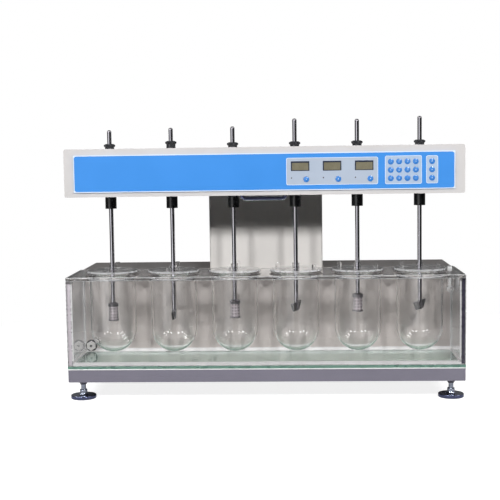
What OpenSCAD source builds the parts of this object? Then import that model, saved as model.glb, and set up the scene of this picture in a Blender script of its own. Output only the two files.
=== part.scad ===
// Dissolution tester: a clear water bath on a grey base, six round-bottomed glass vessels,
// and a drive head on a lifting column that turns six stirrers.
// Millimetres. X runs across the front, Y runs from the front to the back, Z is height above the floor.

/* [Base and feet] */
// Width of the base and of the water bath
base_w = 900; // [880:1:960]
// Depth of the base from front to back
base_d = 340; // [330:1:380]
// Height of the base tray
base_h = 30; // [24:1:50]
// Sheet thickness of the base tray
base_sheet = 2; // [1.5:0.5:4]
// Radius of the upright corners of the base
base_corner_r = 5; // [3:0.5:10]
// Height of the base above the floor
foot_h = 42; // [34:1:60]
// Diameter of a foot's disc
foot_disc_d = 58; // [40:1:58]
// Thickness of a foot's disc
foot_rim_h = 8; // [5:0.5:10]
// Radius of the rounded edges of that disc
foot_edge_r = 1.5; // [0.5:0.25:2.5]
// Diameter of the hub on a foot's disc
foot_hub_d = 17; // [16:0.5:22]
// Height of the hub above the floor
foot_hub_h = 21; // [19:0.5:24]
// Radius of the flare between the disc and the hub
foot_flare_r = 6; // [3:0.5:8]
// Radius of the hub's shoulder
foot_shoulder_r = 2.5; // [1:0.25:3]
// Diameter of a foot's stem
foot_stem_d = 11; // [8:0.5:12]
// Chamfer at the top of a foot's stem
foot_chamfer = 1; // [0.5:0.25:2]
// Length of stem held in the base
foot_grip = 16; // [10:0.5:18]
// Distance from the end of the base to a foot's axis
foot_inset_x = 29; // [29:1:60]
// Distance from the front or back of the base to a foot's axis
foot_inset_y = 30; // [29:1:60]
// Height of the flared nut under the base
foot_nut_h = 10; // [4:0.5:11]
// Width of the flared nut where it meets the base
foot_nut_d = 24; // [23:1:32]

/* [Water bath] */
// Depth of the water bath from front to back
bath_d = 172; // [160:1:184]
// Height of the water bath above the base
bath_h = 210; // [204:1:250]
// Thickness of the glass sheet under the bath
glass_t = 7; // [5:0.5:10]
// Thickness of the clear walls
wall_t = 10; // [6:0.5:11]
// Thickness of the vessel plate
plate_t = 8; // [5:0.5:12]
// Width of the bonded joint between two sheets of the bath
bond_gap = 0.1; // [0.05:0.05:0.3]

/* [Vessels] */
// Distance from an end wall of the bath to the nearest vessel
vessel_end_gap = 30.25; // [20:0.25:34]
// Outside diameter of a vessel
vessel_d = 107; // [104:0.5:112]
// Wall thickness of a vessel
vessel_wall = 2.5; // [2:0.25:4]
// Depth of a vessel below its flange
vessel_depth = 183; // [170:1:190]
// Diameter of a vessel's flange
vessel_flange_d = 124; // [120:0.5:130]
// Height of a vessel's flared flange
vessel_flange_t = 4; // [3:0.5:9]
// Width of the seat under a vessel's flange
vessel_seat = 3; // [2:0.25:5]
// Clearance round a vessel in the plate
vessel_clearance = 0.8; // [0.5:0.1:2]

/* [Vessel lids] */
// Diameter of a lid
lid_d = 118; // [112:0.5:124]
// Thickness of a lid
lid_t = 4; // [3:0.5:8]
// Gap under a resting lid
lid_seat_gap = 0.2; // [0.1:0.05:0.4]
// Clearance round the shaft in a lid
lid_bore_clearance = 1; // [0.5:0.1:2]
// Wall of the tube that stands up round the shaft
lid_hub_wall = 2.5; // [1.5:0.25:5]
// Height of that tube above the lid
lid_hub_h = 13; // [6:0.5:20]
// Diameter of a lid's post
lid_post_d = 10; // [6:0.5:14]
// Height of a lid's post
lid_post_h = 14; // [8:0.5:22]
// Diameter of a lid's small knob
lid_knob_d = 10; // [6:0.5:14]
// Height of a lid's small knob
lid_knob_h = 8; // [5:0.5:14]
// Distance from the shaft to the post and to the knob
lid_post_r = 42; // [30:0.5:46]
// Turn of the three left lids
lid_turn_left = 82; // [0:1:360]
// Turn of the three right lids
lid_turn_right = 178; // [0:1:360]

/* [Stirrers] */
// Diameter of a stirrer's shaft
shaft_d = 10; // [8:0.1:11]
// Length of a stirrer from tip to tip
stirrer_l = 442.5; // [430:0.5:460]
// Radius of the rounded top end of a shaft
shaft_tip_r = 4; // [1:0.25:4.5]
// Working height of a stirrer above the bottom of its vessel
working_gap = 25; // [20:1:30]
// How far stirrer 1 is drawn up from its working height
raise_1 = 45.5; // [40:0.5:68]
// How far stirrer 2 is drawn up from its working height
raise_2 = 49; // [40:0.5:68]
// How far stirrer 3 is drawn up from its working height
raise_3 = 50; // [40:0.5:68]
// How far stirrer 4 is drawn up from its working height
raise_4 = 66; // [40:0.5:68]
// How far stirrer 5 is drawn up from its working height
raise_5 = 63; // [40:0.5:68]
// How far stirrer 6 is drawn up from its working height
raise_6 = 67.5; // [40:0.5:68]
// Outside diameter of a basket's screen
basket_d = 22.2; // [20:0.2:26]
// Height of a basket below its hub
basket_h = 37; // [30:0.5:45]
// Thickness of a basket's screen
basket_wall = 0.8; // [0.5:0.1:1.5]
// Height of the bands at a basket's top and bottom
basket_band_h = 3.5; // [2:0.5:6]
// How far these bands stand out from the screen
basket_band_t = 1.2; // [0.5:0.1:2.5]
// Height of the hub that carries a basket
basket_hub_h = 6; // [4:0.5:10]
// Clearance between a basket and its hub
basket_clearance = 0.1; // [0.05:0.05:0.3]
// Width of a paddle along its top edge
paddle_w = 74.5; // [70:0.5:80]
// Width of a paddle along its bottom edge
paddle_bottom_w = 42; // [36:0.5:50]
// Height of a paddle
paddle_h = 19; // [15:0.5:22]
// Thickness of a paddle
paddle_t = 4; // [3:0.25:6]
// Turn of paddle 2 from face-on
paddle_turn_2 = 90; // [0:1:180]
// Turn of paddle 4 from face-on
paddle_turn_4 = 74; // [0:1:180]
// Turn of paddle 6 from face-on
paddle_turn_6 = 64; // [0:1:180]

/* [Spindles] */
// Outside diameter of a hollow spindle
quill_d = 18; // [16:0.5:20]
// Sliding clearance of a shaft in its spindle
shaft_clearance = 0.08; // [0.02:0.02:0.1]
// Running clearance of a spindle in its bearings
bearing_clearance = 0.06; // [0.02:0.02:0.1]
// Assembly clearance of the pieces on a spindle
fit_clearance = 0.05; // [0.02:0.01:0.1]
// Gap between the turning ends of a spindle and the head
spindle_end_gap = 0.5; // [0.3:0.1:1]
// Clearance of a spindle in the sheets that it passes through
pass_clearance = 1; // [0.5:0.1:2]
// Diameter of the chuck sleeve under the head
chuck_d = 26; // [24:0.5:30]
// Length of the chuck sleeve below the head's lower edge
chuck_drop = 29.5; // [24:0.5:40]
// Diameter of the knurled nut on top
nut_d = 26; // [24:0.5:30]
// Height of the nut's rim with its bevels
nut_rim_h = 8; // [6:0.5:12]
// Height of each bevel of the nut's rim
nut_bevel_h = 2; // [1:0.25:2.5]
// Diameter of the nut's top face
nut_face_d = 17; // [14:0.5:20]
// Diameter of the nut's neck
nut_neck_d = 21; // [20.5:0.5:23]
// Height of the nut's neck
nut_neck_h = 3.5; // [2:0.5:8]
// How much further nut 2 is screwed out
nut_2_raise = 5; // [0:0.5:8]
// Depth of the knurling
knurl_depth = 0.6; // [0.3:0.1:1]
// Number of ridges of the knurling
knurl_count = 36; // [24:1:48]

/* [Drive] */
// Diameter of a pulley over its teeth
pulley_d = 33; // [30:0.5:36]
// Height of a pulley between its flanges
pulley_h = 13; // [10:0.5:15]
// Height of a pulley flange
pulley_flange_h = 1; // [0.5:0.25:2]
// How far a pulley flange stands out
pulley_flange_t = 2; // [1:0.25:2.5]
// Number of teeth of a pulley
pulley_teeth = 24; // [16:1:32]
// Depth of a pulley's tooth gaps
tooth_depth = 1.2; // [0.6:0.1:1.6]
// Thickness of the belt
belt_t = 1.5; // [1:0.1:1.8]
// Clearance between the belt and a pulley
belt_gap = 0.3; // [0.2:0.05:0.4]
// Outside diameter of a bearing
bearing_d = 34; // [28:0.5:40]
// Height of a bearing
bearing_h = 12; // [8:0.5:14]
// Diameter of the motor
motor_d = 60; // [50:1:70]
// Height of the motor
motor_h = 42; // [30:1:44]
// Diameter of the motor's shaft
motor_shaft_d = 8; // [6:0.5:10]
// Thickness of the bridge that carries the motor
bridge_t = 4; // [3:0.5:6]
// Width of the bridge
bridge_w = 62; // [54:1:70]
// Thickness of each leg of the bridge
bridge_leg_t = 5; // [4:0.5:8]
// Gap between the belt and the legs of the bridge
bridge_gap = 6; // [4:0.5:10]

/* [Drive head] */
// Width of the head
head_w = 896; // [880:1:900]
// Height of the head
head_h = 108; // [104:1:120]
// Clear height between the bath and the head
head_gap = 181; // [170:1:200]
// Set-back of the head behind the front of the bath
head_setback = 10; // [4:1:20]
// Margin of the head behind the column
head_margin = 4; // [3:0.5:12]
// Sheet thickness of the head
head_sheet = 2; // [1.5:0.25:3]
// Radius of the long edges at the ends of the head
head_corner_r = 4; // [2.5:0.5:8]
// Thickness of the deck plate in the head
deck_t = 6; // [4:0.5:8]
// Set-up of the deck plate above the head's lower edge
deck_recess = 16; // [10:0.5:18]
// Clearance round the deck plate
deck_clearance = 0.2; // [0.1:0.05:0.5]
// Diameter of the lift handle's bar
handle_d = 10; // [8:0.5:12]
// Width of the lift handle
handle_w = 109; // [90:1:112]
// Drop of the lift handle below the head's lower edge
handle_drop = 13.5; // [12:0.5:20]
// Bend radius of the lift handle
handle_bend = 9; // [7:0.5:10]
// Distance from the head's front to the lift handle
handle_setback = 40; // [24:1:46]

/* [Control panel] */
// Width of the control panel
panel_w = 852; // [830:1:860]
// Height of the control panel
panel_h = 84; // [78:1:88]
// Thickness of the control panel
panel_t = 2.5; // [2.5:0.25:4]
// Height of the panel above the head's lower edge
panel_lift = 10; // [8:0.5:12]
// Corner radius of the panel
panel_corner_r = 2; // [1:0.5:6]
// Width of a display window
window_w = 41; // [30:0.5:48]
// Height of a display window
window_h = 21.5; // [16:0.5:24]
// Thickness of a display window
window_t = 1; // [0.6:0.1:1.4]
// Clearance round a display window
window_clearance = 0.1; // [0.05:0.05:0.3]
// Distance of the first display from the middle of the panel
window_x = 83; // [76:0.5:86]
// Distance between displays
window_pitch = 71; // [66:0.5:74]
// Height of the displays above the panel's lower edge
window_z = 54; // [52:0.5:62]
// Diameter of a key
key_d = 12.5; // [10:0.25:14]
// Height of a key's straight side
key_side_h = 1.5; // [1:0.1:2]
// Height of a key's dome
key_dome_h = 1; // [0.5:0.1:1.8]
// Travel of a key
key_travel = 1; // [0.5:0.1:1.2]
// Clearance round a key and behind a pressed key
key_clearance = 0.3; // [0.2:0.05:0.4]
// Distance from a display's middle to its key
set_key_x = 13.6; // [8:0.1:18]
// Distance of the keypad's first column from the middle of the panel
pad_x = 283.7; // [280:0.1:286]
// Distance between the keys
key_pitch = 18.4; // [16:0.1:19]
// Height of the lowest row of keys above the panel's lower edge
key_row_z = 24.4; // [22:0.1:26]
// Distance of the function keys from the middle of the panel
func_x = 374.7; // [372:0.1:380]

/* [Lift column and rear housing] */
// Width of the column
column_w = 271; // [250:1:290]
// Depth of the column
column_d = 110; // [100:1:120]
// Wall of the column
column_wall = 2.5; // [2:0.25:4]
// Corner radius of the column
column_corner_r = 4; // [3:0.5:8]
// Clearance round the column in the housing
column_clearance = 2; // [1:0.25:4]
// Gap under the column
column_foot_gap = 12; // [6:1:20]
// Travel of the head
lift_travel = 170; // [120:1:170]
// Thickness of the two guide blocks inside the column
guide_block_t = 24; // [16:1:30]
// Diameter of a guide rod
guide_d = 16; // [12:1:20]
// Distance between the guide rods
guide_spacing = 190; // [160:1:210]
// Clearance above the guide rods
guide_top_gap = 22; // [16:1:30]
// Running clearance of the guide rods
guide_clearance = 0.08; // [0.02:0.02:0.1]
// Outside diameter of the gas strut
strut_d = 22; // [18:1:28]
// Wall of the gas strut
strut_wall = 2; // [1.5:0.25:3]
// Diameter of the strut's rod
strut_rod_d = 8; // [6:0.5:10]
// Length of the strut's piston
strut_piston_h = 8; // [5:0.5:12]
// Clearance of the piston and rod in the strut
strut_clearance = 0.08; // [0.02:0.02:0.1]
// Distance from the end of the base to the housing behind the bath
housing_inset = 7; // [5:0.5:16]
// Sheet thickness of the housing
housing_sheet = 1.5; // [1:0.25:3]
// Gap between the bath and the housing
housing_gap = 1; // [0.5:0.25:4]
// Radius of the housing's upright corners
housing_corner_r = 3; // [3:0.5:8]
// Number of ventilation slots in the housing's back
vent_count = 9; // [5:1:14]
// Length of a ventilation slot
vent_l = 60; // [40:1:80]
// Width of a ventilation slot
vent_w = 4; // [2:0.5:5]
// Distance between ventilation slots
vent_pitch = 10; // [8:0.5:12]
// Width of the mains inlet
inlet_w = 27; // [26:0.5:30]
// Height of the mains inlet
inlet_h = 20; // [19:0.5:24]
// Depth of the mains inlet
inlet_depth = 18; // [14:0.5:22]
// Wall of the mains inlet
inlet_wall = 2; // [1.5:0.25:3]
// Height of the mains inlet above the base
inlet_z = 60; // [40:1:100]

/* [Water circuit] */
// Width across the flats of the drain nut
drain_nut_w = 20; // [18:0.5:24]
// Thickness of the drain nut
drain_nut_t = 7; // [5:0.5:10]
// Outside diameter of the drain gasket
drain_gasket_d = 28; // [26:0.5:28]
// Thickness of the drain gasket
drain_gasket_t = 2; // [1:0.5:4]
// Diameter of the drain's threaded tube
drain_tube_d = 14; // [10:0.5:16]
// Bore of the drain
drain_bore_d = 6; // [5:0.5:8]
// Length of drain tube behind the housing's front sheet
drain_tail = 18; // [10:1:30]
// Distance from the drain to the inside of the left wall
drain_inset = 15; // [14:0.5:24]
// Height of the drain above the glass
drain_z = 20; // [15:0.5:30]
// Clearance of the drain tube in the sheets
drain_clearance = 0.3; // [0.2:0.1:1]
// Outside diameter of the filling elbow
fill_d = 16; // [13:0.5:16]
// Bore of the filling elbow
fill_bore_d = 10; // [8:0.5:11]
// Diameter of the collar of the filling elbow
fill_collar_d = 20; // [18:0.5:22]
// Thickness of that collar
fill_collar_t = 5; // [3:0.5:8]
// Drop of the elbow below the top of the vessel plate
fill_drop = 47; // [40:0.5:60]
// Reach of the elbow's open end towards the front
fill_reach = 16; // [12:0.5:22]
// Distance from the elbow to the inside of the right wall
fill_inset = 9; // [9:0.5:12]
// Distance of the elbow behind the line of vessels
fill_back = 45; // [43:0.5:50]
// Clearance of the elbow in the vessel plate
fill_clearance = 0.3; // [0.2:0.1:1]
// Diameter of the pump's motor
pump_d = 70; // [50:1:90]
// Height of the pump's motor
pump_h = 80; // [60:1:100]
// Height of the pump's housing
pump_base_h = 34; // [24:1:44]
// Margin of the pump's housing round its motor
pump_margin = 10; // [6:1:16]
// Diameter of the heater
heater_d = 46; // [36:1:60]
// Length of the heater
heater_l = 170; // [120:1:200]
// Height of the heater's saddles
heater_saddle_h = 20; // [12:1:40]

/* [Hidden] */
$fn = 64;

// Small overlap that keeps cuts clean
cut = 1;

// Levels of the base and the bath
front_y = -base_d / 2;
back_y = base_d / 2;
base_top = foot_h + base_h;
bath_floor = base_top + glass_t;
bath_top = base_top + bath_h;
wall_h = bath_h - glass_t - plate_t;
bath_back_y = front_y + bath_d;
vessel_y = front_y + bath_d / 2;

// Levels of a vessel and its lid
vessel_bottom = bath_top - vessel_depth;
vessel_r = vessel_d / 2;
vessel_pitch = (base_w - 2 * wall_t - vessel_d - 2 * vessel_end_gap) / 5;
vessel_in_r = vessel_r - vessel_wall;
vessel_floor = vessel_bottom + vessel_wall;
flange_top = bath_top + vessel_flange_t;
lid_z = flange_top + lid_seat_gap;
lid_bore_r = shaft_d / 2 + lid_bore_clearance;

// Levels of the head
head_z = bath_top + head_gap;
head_top = head_z + head_h;
deck_z = head_z + deck_recess;
deck_top = deck_z + deck_t;
head_front_y = front_y + head_setback;
panel_front_y = head_front_y - panel_t;
panel_z = head_z + panel_lift;

// Places of the column and the housing
housing_w = base_w - 2 * housing_inset;
housing_front_y = bath_back_y + housing_gap;
column_front_y = housing_front_y + housing_sheet + column_clearance;
column_y = column_front_y + column_d / 2;
column_back_y = column_front_y + column_d;
column_z = base_top + column_foot_gap;
column_h = deck_z - column_z;
head_back_y = column_back_y + head_margin;
head_d = head_back_y - head_front_y;
head_y = (head_front_y + head_back_y) / 2;
guide_top = deck_z - guide_top_gap;
upper_block_z = guide_top - lift_travel - guide_block_t - strut_piston_h;
side_bay_x = (column_w / 2 + housing_w / 2) / 2;
housing_y = (housing_front_y + back_y) / 2;
strut_z = column_z + column_h - lift_travel - 2 * guide_top_gap;

// Levels of the spindles and the drive
bore_r = shaft_d / 2 + shaft_clearance;
chuck_z = head_z - chuck_drop;
pulley_z = deck_top + bearing_h + spindle_end_gap;
pulley_all_h = pulley_h + 2 * pulley_flange_h;
belt_in_r = pulley_d / 2 + belt_gap;
belt_out_r = belt_in_r + belt_t;
bridge_z = pulley_z + pulley_all_h + pass_clearance;
bridge_leg_y = pulley_d / 2 + pulley_flange_t + bridge_gap;
key_back = key_travel + key_clearance;

// Raise and paddle turn of the stirrers in order
raise = [raise_1, raise_2, raise_3, raise_4, raise_5, raise_6];
paddle_turn = [0, paddle_turn_2, 0, paddle_turn_4, 0, paddle_turn_6];

// Place of vessel i along the front, counted from the left
function vessel_x(i) = (i - 3.5) * vessel_pitch;

// Lower end of stirrer i
function stirrer_z(i) = vessel_floor + working_gap + raise[i - 1];

// Rectangle with round corners, centred
module round_rect(w, h, r) {
    square([w - 2 * r, h], center = true);
    square([w, h - 2 * r], center = true);
    for (sx = [-1, 1], sy = [-1, 1])
        translate([sx * (w / 2 - r), sy * (h / 2 - r)])
            circle(r);
}

// Ring that stands on Z
module ring(r_out, r_in, h) {
    difference() {
        cylinder(r = r_out, h = h);
        translate([0, 0, -cut])
            cylinder(r = r_in, h = h + 2 * cut);
    }
}

// Places its children at each of the four feet
module at_feet() {
    for (sx = [-1, 1], sy = [-1, 1])
        translate([sx * (base_w / 2 - foot_inset_x), sy * (base_d / 2 - foot_inset_y), 0])
            children();
}

// Places its children at each vessel
module at_vessels() {
    for (i = [1 : 6])
        translate([vessel_x(i), vessel_y, 0])
            children();
}

// Grey sheet tray, open below, with a threaded boss and flared nut for each foot
module base_tray() {
    stem_bore_r = foot_stem_d / 2 + fit_clearance;
    color([0.47, 0.46, 0.52])
    difference() {
        union() {
            difference() {
                translate([0, 0, foot_h])
                    linear_extrude(base_h)
                        round_rect(base_w, base_d, base_corner_r);
                translate([0, 0, foot_h - cut])
                    linear_extrude(base_h - base_sheet + cut)
                        round_rect(base_w - 2 * base_sheet, base_d - 2 * base_sheet,
                            base_corner_r - base_sheet / 2);
            }
            at_feet() {
                translate([0, 0, foot_h])
                    cylinder(d = foot_nut_d, h = base_h - base_sheet / 2);
                translate([0, 0, foot_h - foot_nut_h])
                    cylinder(d1 = foot_nut_d - foot_nut_h, d2 = foot_nut_d, h = foot_nut_h);
            }
        }
        at_feet()
            translate([0, 0, foot_h - foot_nut_h - cut])
                cylinder(r = stem_bore_r, h = foot_nut_h + base_h - base_sheet + cut);
    }
}

// Half section of a foot: disc with rounded edges, flared hub with a round shoulder, and stem
module foot_section() {
    disc_r = foot_disc_d / 2;
    hub_r = foot_hub_d / 2;
    stem_r = foot_stem_d / 2;
    stem_top = foot_h + foot_grip;
    flare_x = hub_r + foot_flare_r;
    square([disc_r - foot_edge_r, foot_rim_h]);
    translate([0, foot_edge_r])
        square([disc_r, foot_rim_h - 2 * foot_edge_r]);
    for (z = [foot_edge_r, foot_rim_h - foot_edge_r])
        translate([disc_r - foot_edge_r, z])
            circle(foot_edge_r);
    difference() {
        square([flare_x, foot_rim_h + foot_flare_r]);
        translate([flare_x, foot_rim_h + foot_flare_r])
            circle(foot_flare_r);
    }
    square([hub_r, foot_hub_h - foot_shoulder_r]);
    square([hub_r - foot_shoulder_r, foot_hub_h]);
    translate([hub_r - foot_shoulder_r, foot_hub_h - foot_shoulder_r])
        circle(foot_shoulder_r);
    polygon([[0, 0], [stem_r, 0], [stem_r, stem_top - foot_chamfer],
        [stem_r - foot_chamfer, stem_top], [0, stem_top]]);
}

// Levelling foot, turned as one piece
module foot(sx, sy) {
    color([0.8, 0.8, 0.82])
    translate([sx * (base_w / 2 - foot_inset_x), sy * (base_d / 2 - foot_inset_y), 0])
        rotate_extrude()
            foot_section();
}

// Glass sheet that the bath stands on
module tank_base_glass() {
    color([0.55, 0.75, 0.65, 0.5])
    translate([-base_w / 2, front_y, base_top])
        cube([base_w, bath_d, glass_t]);
}

// Four clear walls: front and back run full width, the ends stand between them
module tank_walls() {
    end_l = bath_d - 2 * wall_t - 2 * bond_gap;
    color([0.9, 0.95, 0.97, 0.3])
    translate([0, 0, bath_floor]) {
        translate([-base_w / 2, front_y, 0])
            cube([base_w, wall_t, wall_h]);
        difference() {
            translate([-base_w / 2, bath_back_y - wall_t, 0])
                cube([base_w, wall_t, wall_h]);
            translate([drain_x(), bath_back_y - wall_t - cut, drain_z])
                rotate([-90, 0, 0])
                    cylinder(d = drain_tube_d + 2 * drain_clearance, h = wall_t + 2 * cut);
        }
        for (sx = [-1, 1])
            translate([sx * (base_w - wall_t) / 2, vessel_y, wall_h / 2])
                cube([wall_t, end_l, wall_h], center = true);
    }
}

// Place of the drain along the rear wall
function drain_x() = -base_w / 2 + wall_t + drain_inset;

// Place of the filling elbow
function fill_x() = base_w / 2 - wall_t - fill_inset;

// Clear top sheet with six vessel holes and a filling hole
module vessel_plate() {
    color([0.85, 0.92, 0.95, 0.35])
    difference() {
        translate([-base_w / 2, front_y, bath_top - plate_t])
            cube([base_w, bath_d, plate_t]);
        at_vessels()
            translate([0, 0, bath_top - plate_t - cut])
                cylinder(r = vessel_r + vessel_clearance, h = plate_t + 2 * cut, $fn = 96);
        translate([fill_x(), vessel_y + fill_back, bath_top - plate_t - cut])
            cylinder(d = fill_d + 2 * fill_clearance, h = plate_t + 2 * cut);
    }
}

// Six round-bottomed glass vessels, each hung by its flange
module vessels() {
    flange_r = vessel_flange_d / 2;
    color([0.88, 0.94, 0.96, 0.35])
    at_vessels()
        difference() {
            union() {
                translate([0, 0, vessel_bottom + vessel_r])
                    cylinder(r = vessel_r, h = vessel_depth - vessel_r + vessel_flange_t, $fn = 96);
                translate([0, 0, vessel_bottom + vessel_r])
                    sphere(r = vessel_r, $fn = 96);
                translate([0, 0, bath_top])
                    cylinder(r1 = vessel_r + vessel_seat, r2 = flange_r, h = vessel_flange_t, $fn = 96);
            }
            translate([0, 0, vessel_bottom + vessel_r])
                cylinder(r = vessel_in_r, h = vessel_depth + vessel_flange_t, $fn = 96);
            translate([0, 0, vessel_bottom + vessel_r])
                sphere(r = vessel_in_r, $fn = 96);
        }
}

// White drain nut on a black gasket with its threaded tube, and the clear filling elbow
module bath_ports() {
    wall_y = bath_back_y - wall_t;
    nut_y = wall_y - drain_gasket_t - drain_nut_t;
    tube_l = drain_nut_t + drain_gasket_t + wall_t + housing_gap + housing_sheet + drain_tail;
    translate([drain_x(), 0, bath_floor + drain_z]) {
        color([0.92, 0.92, 0.9])
        difference() {
            union() {
                translate([0, nut_y, 0])
                    rotate([-90, 30, 0])
                        cylinder(d = drain_nut_w / cos(30), h = drain_nut_t - fit_clearance, $fn = 6);
                translate([0, nut_y, 0])
                    rotate([-90, 0, 0])
                        cylinder(d = drain_tube_d, h = tube_l);
            }
            translate([0, nut_y - cut, 0])
                rotate([-90, 0, 0])
                    cylinder(d = drain_bore_d, h = tube_l + 2 * cut);
        }
        color([0.08, 0.08, 0.08])
        translate([0, wall_y - drain_gasket_t, 0])
            rotate([-90, 0, 0])
                ring(drain_gasket_d / 2, drain_tube_d / 2 + fit_clearance, drain_gasket_t);
    }
    color([0.9, 0.94, 0.95, 0.4])
    translate([fill_x(), vessel_y + fill_back, bath_top]) {
        difference() {
            union() {
                cylinder(d = fill_collar_d, h = fill_collar_t);
                translate([0, 0, -fill_drop])
                    cylinder(d = fill_d, h = fill_drop + cut);
                translate([0, 0, -fill_drop])
                    rotate([90, 0, 0])
                        cylinder(d = fill_d, h = fill_reach);
                translate([0, 0, -fill_drop])
                    sphere(d = fill_d);
            }
            translate([0, 0, -fill_drop])
                cylinder(d = fill_bore_d, h = fill_drop + fill_collar_t + cut);
            translate([0, 0, -fill_drop])
                rotate([90, 0, 0])
                    cylinder(d = fill_bore_d, h = fill_reach + cut);
            translate([0, 0, -fill_drop])
                sphere(d = fill_bore_d);
        }
    }
}

// Circulation pump with its motor, and the water heater on two saddles
module water_circuit() {
    color([0.25, 0.27, 0.3])
    translate([side_bay_x, housing_y, base_top]) {
        cylinder(d = pump_d + 2 * pump_margin, h = pump_base_h);
        cylinder(d = pump_d, h = pump_base_h + pump_h);
    }
    color([0.75, 0.75, 0.76])
    translate([-side_bay_x, housing_y, base_top]) {
        translate([-heater_l / 2, 0, heater_saddle_h + heater_d / 2])
            rotate([0, 90, 0])
                cylinder(d = heater_d, h = heater_l);
        for (sx = [-1, 1])
            translate([sx * heater_l / 3, 0, (heater_saddle_h + heater_d / 2) / 2])
                cube([heater_saddle_h / 2, heater_d, heater_saddle_h + heater_d / 2], center = true);
    }
}

// Painted hood behind the bath, open below, with a way for the column, vents and a mains inlet
module rear_housing() {
    hood_d = back_y - housing_front_y;
    hood_h = bath_h;
    inlet_x = -side_bay_x;
    color([0.8, 0.78, 0.76])
    difference() {
        union() {
            difference() {
                translate([0, housing_y, base_top])
                    linear_extrude(hood_h)
                        round_rect(housing_w, hood_d, housing_corner_r);
                translate([0, housing_y, base_top - cut])
                    linear_extrude(hood_h - housing_sheet + cut)
                        round_rect(housing_w - 2 * housing_sheet, hood_d - 2 * housing_sheet,
                            housing_corner_r - housing_sheet / 2);
            }
            translate([inlet_x, back_y - inlet_depth / 2, base_top + inlet_z])
                cube([inlet_w + 2 * inlet_wall, inlet_depth, inlet_h + 2 * inlet_wall], center = true);
        }
        translate([0, column_y, bath_top - housing_sheet - cut])
            linear_extrude(housing_sheet + 2 * cut)
                round_rect(column_w + 2 * column_clearance, column_d + 2 * column_clearance,
                    column_corner_r + column_clearance);
        translate([inlet_x, back_y - (inlet_depth - inlet_wall) / 2, base_top + inlet_z])
            cube([inlet_w, inlet_depth - inlet_wall + cut / 2, inlet_h], center = true);
        translate([drain_x(), housing_front_y - cut, bath_floor + drain_z])
            rotate([-90, 0, 0])
                cylinder(d = drain_tube_d + 2 * drain_clearance, h = housing_sheet + 2 * cut);
        for (i = [0 : vent_count - 1])
            translate([side_bay_x + (i - (vent_count - 1) / 2) * vent_pitch, back_y, base_top + hood_h / 2])
                cube([vent_w, 4 * housing_sheet, vent_l], center = true);
    }
}

// Two guide rods and the piston rod of the gas strut, standing on the base
module lift_rods() {
    piston_top = guide_top;
    color([0.78, 0.78, 0.8])
    translate([0, column_y, base_top]) {
        for (sx = [-1, 1])
            translate([sx * guide_spacing / 2, 0, 0])
                cylinder(d = guide_d, h = guide_top - base_top);
        cylinder(d = strut_rod_d, h = piston_top - base_top);
        translate([0, 0, piston_top - base_top - strut_piston_h])
            cylinder(d = strut_d - 2 * strut_wall - 2 * strut_clearance, h = strut_piston_h);
    }
}

// Square painted column with two guide blocks across its inside
module column() {
    block_w = column_w - column_wall;
    block_d = column_d - column_wall;
    color([0.87, 0.85, 0.83])
    translate([0, column_y, 0])
    difference() {
        union() {
            translate([0, 0, column_z])
                linear_extrude(column_h)
                    difference() {
                        round_rect(column_w, column_d, column_corner_r);
                        round_rect(column_w - 2 * column_wall, column_d - 2 * column_wall,
                            column_corner_r - column_wall / 2);
                    }
            for (z = [column_z + cut, upper_block_z])
                translate([-block_w / 2, -block_d / 2, z])
                    cube([block_w, block_d, guide_block_t]);
        }
        for (sx = [-1, 1])
            translate([sx * guide_spacing / 2, 0, column_z - cut])
                cylinder(d = guide_d + 2 * guide_clearance, h = column_h);
        translate([0, 0, column_z - cut])
            cylinder(d = strut_d + 2 * fit_clearance, h = column_h);
    }
}

// Cylinder of the gas strut, closed at the top and hung from the deck
module gas_strut() {
    strut_h = deck_z - strut_z;
    color([0.15, 0.15, 0.16])
    translate([0, column_y, strut_z])
        difference() {
            cylinder(d = strut_d, h = strut_h);
            translate([0, 0, -cut])
                cylinder(d = strut_rod_d + 2 * strut_clearance, h = strut_piston_h + 2 * cut);
            translate([0, 0, strut_piston_h])
                cylinder(d = strut_d - 2 * strut_wall, h = strut_h - 2 * strut_piston_h);
        }
}

// Painted sheet cover of the head, open below, drilled for the spindles
module head_shell() {
    inner_r = head_corner_r - head_sheet / 2;
    color([0.87, 0.85, 0.83])
    difference() {
        translate([0, head_back_y, (head_z + head_top) / 2])
            rotate([90, 0, 0])
                linear_extrude(head_d)
                    round_rect(head_w, head_h, head_corner_r);
        translate([0, head_back_y - head_sheet, (head_z + head_top) / 2])
            rotate([90, 0, 0])
                linear_extrude(head_d - 2 * head_sheet) {
                    round_rect(head_w - 2 * head_sheet, head_h - 2 * head_sheet, inner_r);
                    translate([0, -head_h / 2])
                        square([head_w - 2 * head_sheet, head_h - 2 * head_sheet], center = true);
                }
        at_vessels()
            translate([0, 0, head_top - head_sheet - cut])
                cylinder(r = quill_d / 2 + pass_clearance, h = head_sheet + 2 * cut);
    }
}

// Deck plate in the head, which carries the spindles, the motor and the column
module head_deck() {
    color([0.72, 0.72, 0.73])
    difference() {
        translate([0, head_y, deck_z + deck_t / 2])
            cube([head_w - 2 * head_sheet - 2 * deck_clearance,
                head_d - 2 * head_sheet - 2 * deck_clearance, deck_t], center = true);
        at_vessels()
            translate([0, 0, deck_z - cut])
                cylinder(r = quill_d / 2 + pass_clearance, h = deck_t + 2 * cut);
    }
}

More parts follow.
